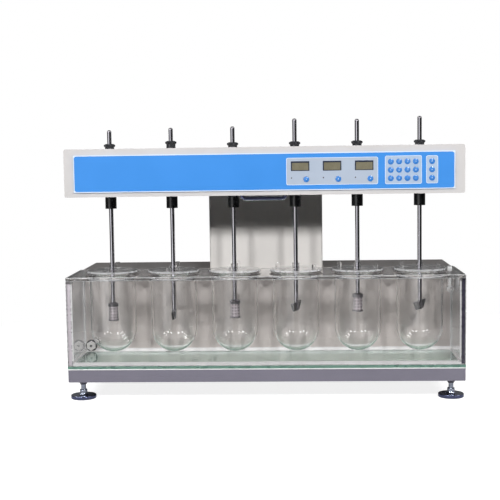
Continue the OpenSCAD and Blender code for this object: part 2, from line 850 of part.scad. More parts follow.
// Chrome bar with two bends, hung from the deck
module lift_handle() {
    leg_x = handle_w / 2 - handle_d / 2;
    bar_z = head_z - handle_drop + handle_d / 2;
    bar_y = head_front_y + handle_setback;
    leg_h = deck_z - bar_z - handle_bend;
    color([0.85, 0.85, 0.87])
    translate([0, bar_y, bar_z]) {
        translate([-leg_x + handle_bend, 0, 0])
            rotate([0, 90, 0])
                cylinder(d = handle_d, h = 2 * (leg_x - handle_bend));
        for (sx = [0, 1])
            mirror([sx, 0, 0]) {
                translate([leg_x - handle_bend, 0, handle_bend])
                    rotate([90, 0, 0])
                        rotate([0, 0, -90])
                            rotate_extrude(angle = 90)
                                translate([handle_bend, 0])
                                    circle(d = handle_d);
                translate([leg_x, 0, handle_bend])
                    cylinder(d = handle_d, h = leg_h);
            }
    }
}

// Places its children on the panel's front, x from its middle and z from its lower edge
module on_panel(x, z) {
    translate([x, panel_front_y, panel_z + z])
        children();
}

// Blue panel with pockets for the displays and holes for the keys
module control_panel() {
    hole_r = key_d / 2 + key_clearance;
    color([0.29, 0.6, 0.92])
    difference() {
        translate([0, head_front_y, panel_z + panel_h / 2])
            rotate([90, 0, 0])
                linear_extrude(panel_t)
                    round_rect(panel_w, panel_h, panel_corner_r);
        for (i = [0 : 2])
            on_panel(window_x + i * window_pitch, window_z)
                cube([window_w + 2 * window_clearance, 2 * window_t,
                    window_h + 2 * window_clearance], center = true);
        for (i = [0 : 2])
            on_panel(window_x + i * window_pitch + set_key_x, key_row_z)
                key_hole(hole_r);
        for (i = [0 : 3], j = [0 : 2])
            on_panel(pad_x + i * key_pitch, key_row_z + j * key_pitch)
                key_hole(hole_r);
        for (j = [0 : 2])
            on_panel(func_x, key_row_z + j * key_pitch)
                key_hole(hole_r);
    }
}

// Hole through the panel for one key
module key_hole(r) {
    translate([0, -cut, 0])
        rotate([-90, 0, 0])
            cylinder(r = r, h = panel_t + 2 * cut);
}

// Three display windows in their pockets
module display_windows() {
    color([0.55, 0.53, 0.43])
    for (i = [0 : 2])
        on_panel(window_x + i * window_pitch, window_z)
            translate([0, window_t / 2, 0])
                cube([window_w, window_t, window_h], center = true);
}

// One round key with a domed face
module key_cap() {
    key_r = key_d / 2;
    dome_r = (key_r * key_r + key_dome_h * key_dome_h) / (2 * key_dome_h);
    color([0.35, 0.55, 0.8])
    translate([0, panel_t - key_back, 0])
        rotate([90, 0, 0])
            intersection() {
                cylinder(r = key_r, h = key_side_h + key_dome_h);
                translate([0, 0, key_side_h + key_dome_h - dome_r])
                    sphere(r = dome_r, $fn = 96);
            }
}

// Key i under the displays, counted from the left
module set_key(i) {
    on_panel(window_x + (i - 1) * window_pitch + set_key_x, key_row_z)
        key_cap();
}

// Key i of the keypad, counted from the top left
module pad_key(i) {
    on_panel(pad_x + ((i - 1) % 4) * key_pitch, key_row_z + (2 - floor((i - 1) / 4)) * key_pitch)
        key_cap();
}

// Function key i, counted from the top
module func_key(i) {
    on_panel(func_x, key_row_z + (3 - i) * key_pitch)
        key_cap();
}

// A lower and an upper bearing for each spindle
module spindle_bearings() {
    in_r = quill_d / 2 + bearing_clearance;
    color([0.6, 0.61, 0.63])
    at_vessels()
        for (z = [deck_top, head_top - head_sheet - bearing_h])
            translate([0, 0, z])
                ring(bearing_d / 2, in_r, bearing_h);
}

// Toothed pulley with two flanges and a bore
module pulley(hub_r) {
    gap_r = PI * pulley_d / pulley_teeth / 4;
    difference() {
        union() {
            difference() {
                translate([0, 0, pulley_flange_h / 2])
                    cylinder(d = pulley_d, h = pulley_h + pulley_flange_h);
                for (k = [0 : pulley_teeth - 1])
                    rotate(k * 360 / pulley_teeth)
                        translate([pulley_d / 2 + gap_r - tooth_depth, 0, 0])
                            cylinder(r = gap_r, h = pulley_all_h);
            }
            for (z = [0, pulley_all_h - pulley_flange_h])
                translate([0, 0, z])
                    cylinder(r = pulley_d / 2 + pulley_flange_t, h = pulley_flange_h);
        }
        translate([0, 0, -cut])
            cylinder(r = hub_r, h = pulley_all_h + 2 * cut);
    }
}

// Nut with a knurled rim, bevelled above and below, on a plain neck
module top_nut(neck_h) {
    rim_r = nut_d / 2;
    root_r = rim_r - knurl_depth;
    band_h = nut_rim_h - 2 * nut_bevel_h;
    points = 2 * knurl_count;
    difference() {
        union() {
            cylinder(d = nut_neck_d, h = neck_h + cut);
            translate([0, 0, neck_h]) {
                cylinder(r1 = nut_neck_d / 2, r2 = root_r, h = nut_bevel_h);
                translate([0, 0, nut_bevel_h])
                    linear_extrude(band_h)
                        polygon([for (k = [0 : points - 1])
                            let (r = rim_r - (k % 2) * knurl_depth, a = k * 360 / points)
                            [r * cos(a), r * sin(a)]]);
                translate([0, 0, nut_bevel_h + band_h])
                    cylinder(r1 = root_r, r2 = nut_face_d / 2, h = nut_bevel_h);
            }
        }
        translate([0, 0, -cut])
            cylinder(r = quill_d / 2 + fit_clearance, h = neck_h + nut_rim_h / 2 + cut);
        translate([0, 0, -cut])
            cylinder(r = bore_r, h = neck_h + nut_rim_h + 3 * cut);
    }
}

// Spindle i: hollow quill, pulley, chuck sleeve below and knurled nut on top
module spindle(i) {
    neck_h = nut_neck_h + (i == 2 ? nut_2_raise : 0);
    nut_z = head_top + spindle_end_gap;
    quill_z = chuck_z + chuck_drop / 2;
    quill_top = nut_z + neck_h + nut_rim_h / 2 - fit_clearance;
    chuck_h = deck_z - spindle_end_gap - chuck_z;
    translate([vessel_x(i), vessel_y, 0]) {
        color([0.75, 0.75, 0.77])
        translate([0, 0, quill_z + fit_clearance])
            ring(quill_d / 2, bore_r, quill_top - quill_z - fit_clearance);
        color([0.7, 0.7, 0.72])
        translate([0, 0, pulley_z])
            pulley(quill_d / 2 + fit_clearance);
        color([0.1, 0.1, 0.11])
        difference() {
            translate([0, 0, chuck_z])
                cylinder(d = chuck_d, h = chuck_h);
            translate([0, 0, quill_z])
                cylinder(r = quill_d / 2 + fit_clearance, h = chuck_h);
            translate([0, 0, chuck_z - cut])
                cylinder(r = bore_r, h = chuck_h);
        }
        color([0.1, 0.1, 0.11])
        translate([0, 0, nut_z])
            top_nut(neck_h);
    }
}

// Pulley on the motor's shaft, in line with the spindles
module drive_pulley() {
    color([0.7, 0.7, 0.72])
    translate([0, vessel_y, pulley_z]) {
        pulley(motor_shaft_d / 4);
        cylinder(d = motor_shaft_d, h = bridge_z + bridge_t + motor_h / 2 - pulley_z);
    }
}

// Gear motor on a bridge that stands over the belt
module drive_motor() {
    translate([0, vessel_y, 0]) {
        color([0.6, 0.61, 0.63])
        difference() {
            translate([-bridge_w / 2, -bridge_leg_y - bridge_leg_t, deck_top])
                cube([bridge_w, 2 * (bridge_leg_y + bridge_leg_t), bridge_z + bridge_t - deck_top]);
            translate([-bridge_w / 2 - cut, -bridge_leg_y, deck_top - cut])
                cube([bridge_w + 2 * cut, 2 * bridge_leg_y, bridge_z - deck_top + cut]);
            translate([0, 0, bridge_z - cut])
                cylinder(d = motor_shaft_d + 2 * pass_clearance, h = bridge_t + 2 * cut);
        }
        color([0.3, 0.31, 0.33])
        translate([0, 0, bridge_z + bridge_t + fit_clearance])
            difference() {
                cylinder(d = motor_d, h = motor_h);
                translate([0, 0, -cut])
                    cylinder(d = motor_shaft_d + 2 * bearing_clearance, h = motor_h / 2 + 2 * cut);
            }
    }
}

// One belt round the end pulleys, touching all of them
module timing_belt() {
    run = 5 * vessel_pitch;
    color([0.12, 0.12, 0.12])
    translate([0, vessel_y, pulley_z + pulley_flange_h + belt_gap])
        linear_extrude(pulley_h - 2 * belt_gap)
            difference() {
                belt_outline(run, belt_out_r);
                belt_outline(run, belt_in_r);
            }
}

// Long outline with half-round ends
module belt_outline(run, r) {
    square([run, 2 * r], center = true);
    for (sx = [-1, 1])
        translate([sx * run / 2, 0])
            circle(r);
}

// Stirrer shaft with a rounded top, from its lower end at zero
module stirrer_shaft(from) {
    r = shaft_d / 2;
    tip_r = min(shaft_tip_r, r - fit_clearance);
    translate([0, 0, from])
        cylinder(r = r, h = stirrer_l - from - tip_r);
    translate([0, 0, stirrer_l - tip_r])
        cylinder(r = r - tip_r, h = tip_r);
    translate([0, 0, stirrer_l - tip_r])
        rotate_extrude()
            intersection() {
                translate([r - tip_r, 0])
                    circle(tip_r);
                square(2 * r);
            }
}

// Basket stirrer: shaft with a hub, and a screen cup hung on the hub
module basket_stirrer() {
    band_r = basket_d / 2 + basket_band_t;
    screen_in_r = basket_d / 2 - basket_wall;
    hub_z = basket_h;
    color([0.74, 0.74, 0.75]) {
        stirrer_shaft(hub_z);
        translate([0, 0, hub_z])
            cylinder(r = band_r, h = basket_hub_h / 2);
        translate([0, 0, hub_z + basket_hub_h / 2])
            cylinder(r1 = band_r, r2 = shaft_d / 2 + basket_band_t, h = basket_hub_h / 2);
        translate([0, 0, hub_z - basket_band_h / 2])
            cylinder(r = screen_in_r - basket_clearance, h = basket_band_h);
    }
    color([0.45, 0.45, 0.46])
    difference() {
        union() {
            cylinder(d = basket_d, h = hub_z - basket_clearance);
            for (z = [0, hub_z - basket_clearance - basket_band_h])
                translate([0, 0, z])
                    cylinder(r = band_r, h = basket_band_h);
        }
        translate([0, 0, basket_wall])
            cylinder(r = screen_in_r, h = hub_z);
    }
}

// Paddle outline: a blade whose ends are arcs, wide at the top
module paddle_outline() {
    steps = 8;
    rise = (paddle_w - paddle_bottom_w) / 2;
    end = [for (k = [0 : steps])
        let (u = k / steps)
        [paddle_bottom_w / 2 + rise * sin(90 * u) * 0.35 + rise * u * 0.65, paddle_h * u]];
    polygon(concat(end, [for (k = [steps : -1 : 0]) [-end[k][0], end[k][1]]]));
}

// Paddle stirrer: blade across the lower end of the shaft
module paddle_stirrer(turn) {
    color([0.2, 0.2, 0.21])
    rotate(turn)
        translate([0, paddle_t / 2, 0])
            rotate([90, 0, 0])
                linear_extrude(paddle_t)
                    paddle_outline();
    color([0.74, 0.74, 0.75])
        stirrer_shaft(0);
}

// Stirrer i: odd ones carry baskets, even ones carry paddles
module stirrer(i) {
    translate([vessel_x(i), vessel_y, stirrer_z(i)])
        if (i % 2 == 1)
            basket_stirrer();
        else
            paddle_stirrer(paddle_turn[i - 1]);
}

// Lid i: clear disc that rests on the vessel's rim, with a tube round the shaft, a post and a knob
module lid(i) {
    turn = i < 4 ? lid_turn_left : lid_turn_right;
    hub_r = lid_bore_r + lid_hub_wall;
    color([0.9, 0.94, 0.96, 0.4])
    translate([vessel_x(i), vessel_y, lid_z])
        difference() {
            union() {
                cylinder(d = lid_d, h = lid_t, $fn = 96);
                cylinder(r = hub_r, h = lid_t + lid_hub_h);
                rotate(turn) {
                    translate([lid_post_r, 0, 0])
                        cylinder(d = lid_post_d, h = lid_t + lid_post_h);
                    translate([-lid_post_r, 0, 0])
                        cylinder(d = lid_knob_d, h = lid_t + lid_knob_h);
                }
            }
            translate([0, 0, -cut])
                cylinder(r = lid_bore_r, h = lid_t + lid_hub_h + 2 * cut);
        }
}

base_tray();
rear_housing();
lift_rods();
tank_base_glass();
tank_walls();
vessel_plate();
vessels();
bath_ports();
water_circuit();
foot(-1, -1);  // foot_1
foot(1, -1);  // foot_2
foot(-1, 1);  // foot_3
foot(1, 1);  // foot_4
head_shell();
head_deck();
control_panel();
display_windows();
lift_handle();
column();
gas_strut();
spindle_bearings();
drive_motor();
timing_belt();
drive_pulley();
spindle(1);  // spindle_1
spindle(2);  // spindle_2
spindle(3);  // spindle_3
spindle(4);  // spindle_4
spindle(5);  // spindle_5
spindle(6);  // spindle_6
stirrer(1);  // stirrer_1
stirrer(2);  // stirrer_2
stirrer(3);  // stirrer_3
stirrer(4);  // stirrer_4
stirrer(5);  // stirrer_5
stirrer(6);  // stirrer_6
lid(1);  // lid_1
lid(2);  // lid_2
lid(3);  // lid_3
lid(4);  // lid_4
lid(5);  // lid_5
lid(6);  // lid_6
set_key(1);  // set_key_1
set_key(2);  // set_key_2
set_key(3);  // set_key_3
pad_key(1);  // pad_key_1
pad_key(2);  // pad_key_2
pad_key(3);  // pad_key_3
pad_key(4);  // pad_key_4
pad_key(5);  // pad_key_5
pad_key(6);  // pad_key_6
pad_key(7);  // pad_key_7
pad_key(8);  // pad_key_8
pad_key(9);  // pad_key_9
pad_key(10);  // pad_key_10
pad_key(11);  // pad_key_11
pad_key(12);  // pad_key_12
func_key(1);  // func_key_1
func_key(2);  // func_key_2
func_key(3);  // func_key_3
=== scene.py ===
"""Looks of a six-vessel dissolution tester: finishes, printed panel, bonded joints and fasteners."""
import math

import bmesh
import bpy
from mathutils import Matrix, Vector


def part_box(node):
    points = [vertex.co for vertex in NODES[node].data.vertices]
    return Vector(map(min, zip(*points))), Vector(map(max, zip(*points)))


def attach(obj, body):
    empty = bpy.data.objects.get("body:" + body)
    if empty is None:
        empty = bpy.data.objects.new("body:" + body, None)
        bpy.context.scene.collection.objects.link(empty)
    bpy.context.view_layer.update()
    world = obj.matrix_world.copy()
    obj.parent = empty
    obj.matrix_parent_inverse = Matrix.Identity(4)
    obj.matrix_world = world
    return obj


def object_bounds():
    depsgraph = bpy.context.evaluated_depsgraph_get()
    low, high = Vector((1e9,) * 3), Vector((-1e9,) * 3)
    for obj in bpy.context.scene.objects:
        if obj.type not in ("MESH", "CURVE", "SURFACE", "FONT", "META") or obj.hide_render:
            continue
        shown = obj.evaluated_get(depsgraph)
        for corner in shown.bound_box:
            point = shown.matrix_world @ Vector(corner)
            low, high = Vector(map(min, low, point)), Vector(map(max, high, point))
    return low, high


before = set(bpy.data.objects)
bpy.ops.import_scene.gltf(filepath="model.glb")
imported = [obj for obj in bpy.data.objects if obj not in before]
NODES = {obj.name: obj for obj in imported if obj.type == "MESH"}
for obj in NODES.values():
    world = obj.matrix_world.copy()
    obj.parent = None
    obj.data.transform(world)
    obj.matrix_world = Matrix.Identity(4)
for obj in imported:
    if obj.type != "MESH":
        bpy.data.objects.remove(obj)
CAD_LOW, CAD_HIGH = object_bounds()
MM = 0.001

# Places that the solids give
PANEL_LOW, PANEL_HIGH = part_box("control_panel")
HOUSING_LOW, HOUSING_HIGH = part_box("rear_housing")
HEAD_LOW, HEAD_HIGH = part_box("head_shell")
GLASS_LOW, GLASS_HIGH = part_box("tank_base_glass")
PLATE_LOW, PLATE_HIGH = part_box("vessel_plate")
TRAY_LOW, TRAY_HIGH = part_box("base_tray")
KEYS = [name for name in NODES if "_key_" in name]
SPINDLES = [f"spindle_{i}" for i in range(1, 7)]
STIRRERS = [f"stirrer_{i}" for i in range(1, 7)]
LIDS = [f"lid_{i}" for i in range(1, 7)]
FEET = [f"foot_{i}" for i in range(1, 5)]

# Middle of the mains inlet in the back of the housing
INLET_X, INLET_Z = -289.25 * MM, 132 * MM

# Values between which a noise mostly lies
NOISE_LOW, NOISE_HIGH = 0.3, 0.7

WHITE = (1, 1, 1, 1)


def centre_of(node):
    """Middle of a solid's box."""
    low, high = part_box(node)
    return (low + high) / 2


def srgb(red, green, blue):
    """Linear colour of a 0 to 255 screen colour."""
    def linear(value):
        part = value / 255
        return part / 12.92 if part <= 0.04045 else ((part + 0.055) / 1.055) ** 2.4
    return (linear(red), linear(green), linear(blue), 1.0)


def grey(tone):
    """Colour of an even linear tone."""
    return (tone, tone, tone, 1)


def shade(colour, share):
    """The same colour, lighter or darker by a share."""
    return tuple(min(1.0, part * share) for part in colour[:3]) + (1.0,)


class Shader:
    """The node tree of one material or world, with short calls to add and link nodes."""

    def __init__(self, owner, output):
        owner.use_nodes = True
        self.owner = owner
        self.tree = owner.node_tree
        self.tree.nodes.clear()
        self.output = self.tree.nodes.new(output)

    def add(self, kind, inputs=None, **settings):
        """New node. An input is a plain value, or the output socket that feeds it."""
        node = self.tree.nodes.new("ShaderNode" + kind)
        for key, value in settings.items():
            setattr(node, key, value)
        for key, value in (inputs or {}).items():
            if isinstance(value, bpy.types.NodeSocket):
                self.tree.links.new(value, node.inputs[key])
            else:
                node.inputs[key].default_value = value
        return node

    def place(self, stretch=(1, 1, 1)):
        """Coordinates on the piece, in metres, stretched along the axes."""
        spot = self.add("TexCoord").outputs["Object"]
        return self.add("Mapping", {"Vector": spot, "Scale": stretch}).outputs["Vector"]

    def noise(self, vector, scale, detail=3.0):
        """Noise from 0 to 1 with a scale in waves per metre."""
        node = self.add("TexNoise", {"Vector": vector, "Scale": scale, "Detail": detail})
        return node.outputs["Fac"]

    def span(self, value, low, high, start=NOISE_LOW, end=NOISE_HIGH):
        """A value that runs from start to end, brought between two numbers."""
        node = self.add("MapRange", {"Value": value, "From Min": start, "From Max": end,
                                     "To Min": low, "To Max": high})
        return node.outputs["Result"]

    def calc(self, operation, first, second):
        """Result of a sum with two values."""
        return self.add("Math", {0: first, 1: second}, operation=operation).outputs[0]

    def ramp(self, value, *stops):
        """Colours along a value, each stop a place and a colour."""
        node = self.add("ValToRGB", {"Fac": value})
        ends = node.color_ramp.elements
        for element, (place, colour) in zip(ends, (stops[0], stops[-1])):
            element.position = place
            element.color = colour
        for place, colour in stops[1:-1]:
            ends.new(place).color = colour
        return node.outputs["Color"]

    def tones(self, noise, dark, light):
        """From a dark to a light colour along a noise."""
        return self.ramp(noise, (NOISE_LOW, dark), (NOISE_HIGH, light))

    def bump(self, height, strength, distance):
        """Normal of a bumpy surface with that depth in metres."""
        node = self.add("Bump", {"Height": height, "Strength": strength, "Distance": distance})
        return node.outputs["Normal"]

    def mix(self, share, first, second):
        """Blend of two shaders, by the share of the second."""
        return self.add("MixShader", {0: share, 1: first.outputs[0], 2: second.outputs[0]})

    def surface(self, shader):
        """Makes a shader the look of the surface."""
        self.tree.links.new(shader.outputs[0], self.output.inputs["Surface"])
        return self.owner


def material(name):
    """Empty material with its node tree."""
    return Shader(bpy.data.materials.new(name), "ShaderNodeOutputMaterial")


def paint(name, colour, roughness=0.5, mottling=0.03, peel=0.12, gloss=0.25):
    """Stoved paint with faint clouds of tone and an orange-peel skin."""
    s = material(name)
    cloud = s.noise(s.place(), scale=14, detail=5)
    skin = s.noise(s.place(), scale=1400, detail=2)
    return s.surface(s.add("BsdfPrincipled", {
        "Base Color": s.tones(cloud, shade(colour, 1 - mottling), shade(colour, 1 + mottling)),
        "Roughness": s.span(cloud, roughness - 0.04, roughness + 0.06),
        "Normal": s.bump(skin, strength=peel, distance=0.05 * MM),
        "Specular IOR Level": gloss,
    }))


def metal(name, colour, roughness, grain=(1, 1, 0.02), fineness=2600, spread=0.1, depth=0.1):
    """Drawn, turned or polished metal, with its grain along the stretched axes."""
    s = material(name)
    streak = s.noise(s.place(grain), scale=fineness)
    cloud = s.noise(s.place(), scale=60, detail=4)
    return s.surface(s.add("BsdfPrincipled", {
        "Base Color": s.tones(streak, shade(colour, 0.86), colour),
        "Metallic": 1.0,
        "Roughness": s.span(cloud, roughness, roughness + spread),
        "Normal": s.bump(streak, strength=depth, distance=0.02 * MM),
    }))


def plastic(name, colour, roughness=0.4, grain=900, depth=0.15, speckle=0.08, ior=1.47):
    """Moulded plastic or rubber with a fine grain."""
    s = material(name)
    grit = s.noise(s.place(), scale=grain)
    cloud = s.noise(s.place(), scale=40)
    return s.surface(s.add("BsdfPrincipled", {
        "Base Color": s.tones(grit, shade(colour, 1 - speckle), shade(colour, 1 + speckle)),
        "Roughness": s.span(cloud, roughness - 0.06, roughness + 0.08),
        "Normal": s.bump(grit, strength=depth, distance=0.03 * MM),
        "IOR": ior,
    }))


def clear(name, colour, ior, smear=0.012, ripple=0.02, absorb=None, density=0.0, through=1.0):
    """Clear sheet or glass with faint smears.
    It lets a share of the lamps' light through to what stands behind it, and less of it at a slant."""
    s = material(name)
    wave = s.noise(s.place(), scale=25, detail=1)
    smears = s.noise(s.place((1, 1, 0.4)), scale=45, detail=5)
    body = s.add("BsdfPrincipled", {
        "Base Color": colour,
        "Roughness": s.span(smears, 0.0, smear, start=0.5, end=0.75),
        "Normal": s.bump(wave, strength=ripple, distance=0.2 * MM),
        "IOR": ior,
        "Transmission Weight": 1.0,
    })
    facing = s.add("LayerWeight", {"Blend": 0.35}).outputs["Facing"]
    rim = s.ramp(facing, (0.36, shade(colour, through)), (0.85, shade(colour, 0.1)))
    passing = s.add("BsdfTransparent", {"Color": rim})
    shadow = s.add("LightPath").outputs["Is Shadow Ray"]
    if density:
        depth = s.add("VolumeAbsorption", {"Color": absorb, "Density": density})
        s.tree.links.new(depth.outputs[0], s.output.inputs["Volume"])
    return s.surface(s.mix(shadow, body, passing))


def screen_weave(name, colour, pitch):
    """Woven wire screen: two crossing sets of wires, with the gaps between them darkened as painted
    shade of the openings.
    """
    s = material(name)
    sets = []
    for way in ("Z", "X"):
        wave = s.add("TexWave", {"Vector": s.place(), "Scale": 0.05 / pitch}, bands_direction=way)
        sets.append(wave.outputs["Fac"])
    wires = s.calc("MAXIMUM", *sets)
    return s.surface(s.add("BsdfPrincipled", {
        # Gaps between the wires darkened: painted shade seen through the openings
        "Base Color": s.ramp(wires, (0.35, shade(colour, 0.4)), (0.8, colour)),
        "Metallic": 0.6,
        "Roughness": s.span(wires, 0.55, 0.35, start=0.0, end=1.0),
        "Normal": s.bump(wires, strength=0.6, distance=0.15 * MM),
    }))


def bonded(name, colour, passing):
    """Milky adhesive of a bonded joint, or a sawn edge of clear sheet."""
    s = material(name)
    drag = s.noise(s.place((0.3, 1, 1)), scale=160, detail=4)
    return s.surface(s.add("BsdfPrincipled", {
        "Base Color": s.tones(drag, shade(colour, 0.94), colour),
        "Roughness": s.span(drag, 0.2, 0.4),
        "Normal": s.bump(drag, strength=0.15, distance=0.2 * MM),
        "Transmission Weight": passing,
        "IOR": 1.45,
    }))


def liquid_crystal(name, colour, pitch):
    """Unlit display glass with a fine dot matrix."""
    s = material(name)
    matrix = s.add("TexVoronoi", {"Vector": s.place(), "Scale": 1 / pitch, "Randomness": 0.0})
    dots = matrix.outputs["Distance"]
    cloud = s.noise(s.place(), scale=90)
    return s.surface(s.add("BsdfPrincipled", {
        "Base Color": s.tones(cloud, shade(colour, 0.9), shade(colour, 1.08)),
        "Roughness": s.span(dots, 0.18, 0.3, start=0.0, end=0.7),
        "Normal": s.bump(dots, strength=0.04, distance=0.05 * MM),
        "IOR": 1.5,
    }))


# Finishes
STEEL = srgb(212, 210, 218)

cream_paint = paint("cream_paint", srgb(214, 211, 210))
# Column and housing: the head's cream paint, lightened as painted light to make up for the shade they
# stand in
column_paint = paint("column_paint", srgb(244, 240, 236))
housing_paint = paint("housing_paint", srgb(234, 228, 223))
# Top of the hood: grey paint, darkened as painted shade of the head above it
hood_top_painted_shade = paint("hood_top_painted_shade", srgb(118, 115, 114), gloss=0.08)
base_paint = paint("base_paint", srgb(130, 127, 140), roughness=0.38, mottling=0.04)
tray_top_paint = paint("tray_top_paint", srgb(214, 224, 219))
panel_blue = paint("panel_blue", srgb(70, 149, 233), roughness=0.34, mottling=0.02, peel=0.06)
field_print = paint("field_print", srgb(181, 193, 210), roughness=0.4, mottling=0.02, peel=0.06)
keypad_print = paint("keypad_print", srgb(180, 199, 224), roughness=0.4, mottling=0.02, peel=0.06)
white_print = paint("white_print", srgb(226, 238, 250), roughness=0.4, mottling=0.02, peel=0.06)
key_blue = plastic("key_blue", srgb(68, 137, 216), roughness=0.16, depth=0.05, speckle=0.04)
# Navy frames round the displays: painted shadow of the displays' recesses
recess_painted_shadow = plastic("recess_painted_shadow", srgb(24, 34, 58), roughness=0.35)
display_glass = liquid_crystal("display_glass", srgb(126, 121, 101), 0.5 * MM)
lamp_dark = plastic("lamp_dark", srgb(70, 62, 66), roughness=0.2, depth=0.05)
vessel_glass = clear("vessel_glass", (0.994, 0.994, 0.99, 1), 1.6, smear=0.006)
clear_sheet = clear("clear_sheet", (0.994, 0.99, 0.992, 1), 1.49, ripple=0.01)
sheet_edge = clear("sheet_edge", (0.99, 0.988, 0.99, 1), 1.49, smear=0.05, through=0.2)
lid_clear = clear("lid_clear", (0.992, 0.99, 0.992, 1), 1.49, smear=0.03)
floor_clear = clear("floor_clear", (0.93, 0.995, 0.965, 1), 1.3, ripple=0.01)
base_glass = clear("base_glass", (0.97, 0.995, 0.985, 1), 1.52, ripple=0.01,
                   absorb=(0.3, 0.8, 0.62, 1), density=3.6)
bond_white = bonded("bond_white", srgb(250, 250, 250), passing=0.0)
sawn_edge = bonded("sawn_edge", srgb(250, 250, 252), passing=0.6)
# Painted reflections on the bonded ends of the end sheets: dark of the room's dark side, pale of its
# bright side
dark_end_painted_reflection = bonded("dark_end_painted_reflection", srgb(64, 60, 78), passing=0.0)
pale_end_painted_reflection = bonded("pale_end_painted_reflection", srgb(232, 224, 232), passing=0.0)
glass_edge = bonded("glass_edge", srgb(124, 166, 150), passing=0.3)
stirrer_steel = metal("stirrer_steel", STEEL, 0.08, spread=0.08)
deck_metal = metal("deck_metal", srgb(170, 170, 172), 0.35, grain=(0.02, 1, 1), fineness=1500)
clip_steel = metal("clip_steel", srgb(128, 125, 130), 0.25)
guide_steel = metal("guide_steel", STEEL, 0.12)
bearing_steel = metal("bearing_steel", srgb(180, 182, 186), 0.2, grain=(1, 1, 1))
pulley_metal = metal("pulley_metal", srgb(190, 190, 194), 0.3, grain=(1, 1, 0.1))
circuit_metal = metal("circuit_metal", srgb(150, 152, 156), 0.3, grain=(1, 1, 1), fineness=700)
handle_chrome = metal("handle_chrome", srgb(226, 230, 240), 0.05, grain=(0.02, 1, 1),
                      spread=0.06, depth=0.04)
foot_chrome = metal("foot_chrome", srgb(176, 182, 198), 0.2, grain=(1, 1, 1), spread=0.06, depth=0.05)
# Navy metal: painted reflection of the dark room, on the feet's upright rims and the handle's front
navy_painted_reflection = metal("navy_painted_reflection", srgb(104, 110, 144), 0.16, grain=(1, 1, 1), spread=0.06, depth=0.05)
screw_steel = metal("screw_steel", srgb(190, 190, 192), 0.22, grain=(1, 1, 1))
motor_grey = plastic("motor_grey", srgb(80, 82, 88), roughness=0.45)
strut_black = plastic("strut_black", srgb(38, 38, 41), roughness=0.3)
spindle_black = plastic("spindle_black", srgb(34, 36, 40), roughness=0.26, grain=1800,
                        speckle=0.15, ior=1.6)
belt_rubber = plastic("belt_rubber", srgb(30, 30, 32), roughness=0.6, depth=0.3)
gasket_rubber_and_bore_shade = plastic("gasket_rubber_and_bore_shade", srgb(22, 22, 24), roughness=0.5)
nut_white = plastic("nut_white", srgb(250, 249, 247), roughness=0.32, speckle=0.02)
blade_coat = plastic("blade_coat", srgb(58, 57, 60), roughness=0.4, grain=1600, speckle=0.12)
basket_screen = screen_weave("basket_screen", srgb(198, 190, 195), 1.1 * MM)
socket_black = plastic("socket_black", srgb(26, 26, 28), roughness=0.4)


def dress(node, *finishes, choose=None):
    """Gives a solid its finishes. Where there are several, choose gives the number of a face's own."""
    mesh = NODES[node].data
    mesh.materials.clear()
    for finish in finishes:
        mesh.materials.append(finish)
    for face in mesh.polygons:
        face.material_index = choose(face) if choose else 0


def ease(node, width, sink=0.0, finish=-1):
    """Rounds a solid's sharp edges a little. Sink draws its skin in, so that bonded sheets
    don't coincide. Finish is the number of the finish that the rounded edges take, where it
    isn't their neighbours'."""
    piece = NODES[node]
    weld = piece.modifiers.new("weld", "WELD")
    weld.merge_threshold = 0.01 * MM
    bevel = piece.modifiers.new("edge", "BEVEL")
    bevel.width = width
    bevel.segments = 2
    bevel.limit_method = "ANGLE"
    bevel.angle_limit = math.radians(40)
    bevel.material = finish
    if sink:
        skin = piece.modifiers.new("skin", "DISPLACE")
        skin.mid_level = 0.0
        skin.strength = -sink
    normals = piece.modifiers.new("normals", "WEIGHTED_NORMAL")
    normals.keep_sharp = True


def off_axis(face, middle):
    """How far a face's middle is from the upright line through a point."""
    return math.hypot(face.center.x - middle.x, face.center.y - middle.y)


def stands(face, limit=0.5):
    """Whether a face is nearer to upright than to level."""
    return abs(face.normal.z) < limit


def on_top(face, height):
    """Whether a face is level and lies at a height."""
    return face.normal.z > 0.9 and face.center.z > height - 1 * MM


def dress_spindle(node):
    """Black chuck below the head and black nut on top, bright quill and pulley between them."""
    quill_low = HEAD_LOW.z + 15.6 * MM

    def choose(face):
        return 0 if quill_low < face.center.z < HEAD_HIGH.z else 1
    dress(node, pulley_metal, spindle_black, choose=choose)


def dress_stirrer(node):
    """Bright shaft with a darker tip, and a coated blade or a wire basket at its lower end."""
    low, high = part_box(node)
    middle = centre_of(node)
    widest_basket = 40 * MM
    is_basket = max(high.x - low.x, high.y - low.y) < widest_basket
    shaft_r, band_r = 5.2 * MM, 11.4 * MM
    tip_low = high.z - 4 * MM
    screen_high = low.z + 36.8 * MM

    def choose(face):
        reach = off_axis(face, middle)
        if reach < shaft_r:
            return 3 if face.center.z > tip_low else 0
        if is_basket:
            return 2 if face.center.z < screen_high and reach < band_r else 3
        return 1
    dress(node, stirrer_steel, blade_coat, basket_screen, clip_steel, choose=choose)


def dress_disc(node, plain, rim, limit=0.5):
    """Round piece whose upright rim has a finish of its own."""
    low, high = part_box(node)
    middle = centre_of(node)
    rim_r = (high.x - low.x) / 2 - 1 * MM

    def choose(face):
        return int(off_axis(face, middle) > rim_r and stands(face, limit))
    dress(node, plain, rim, choose=choose)


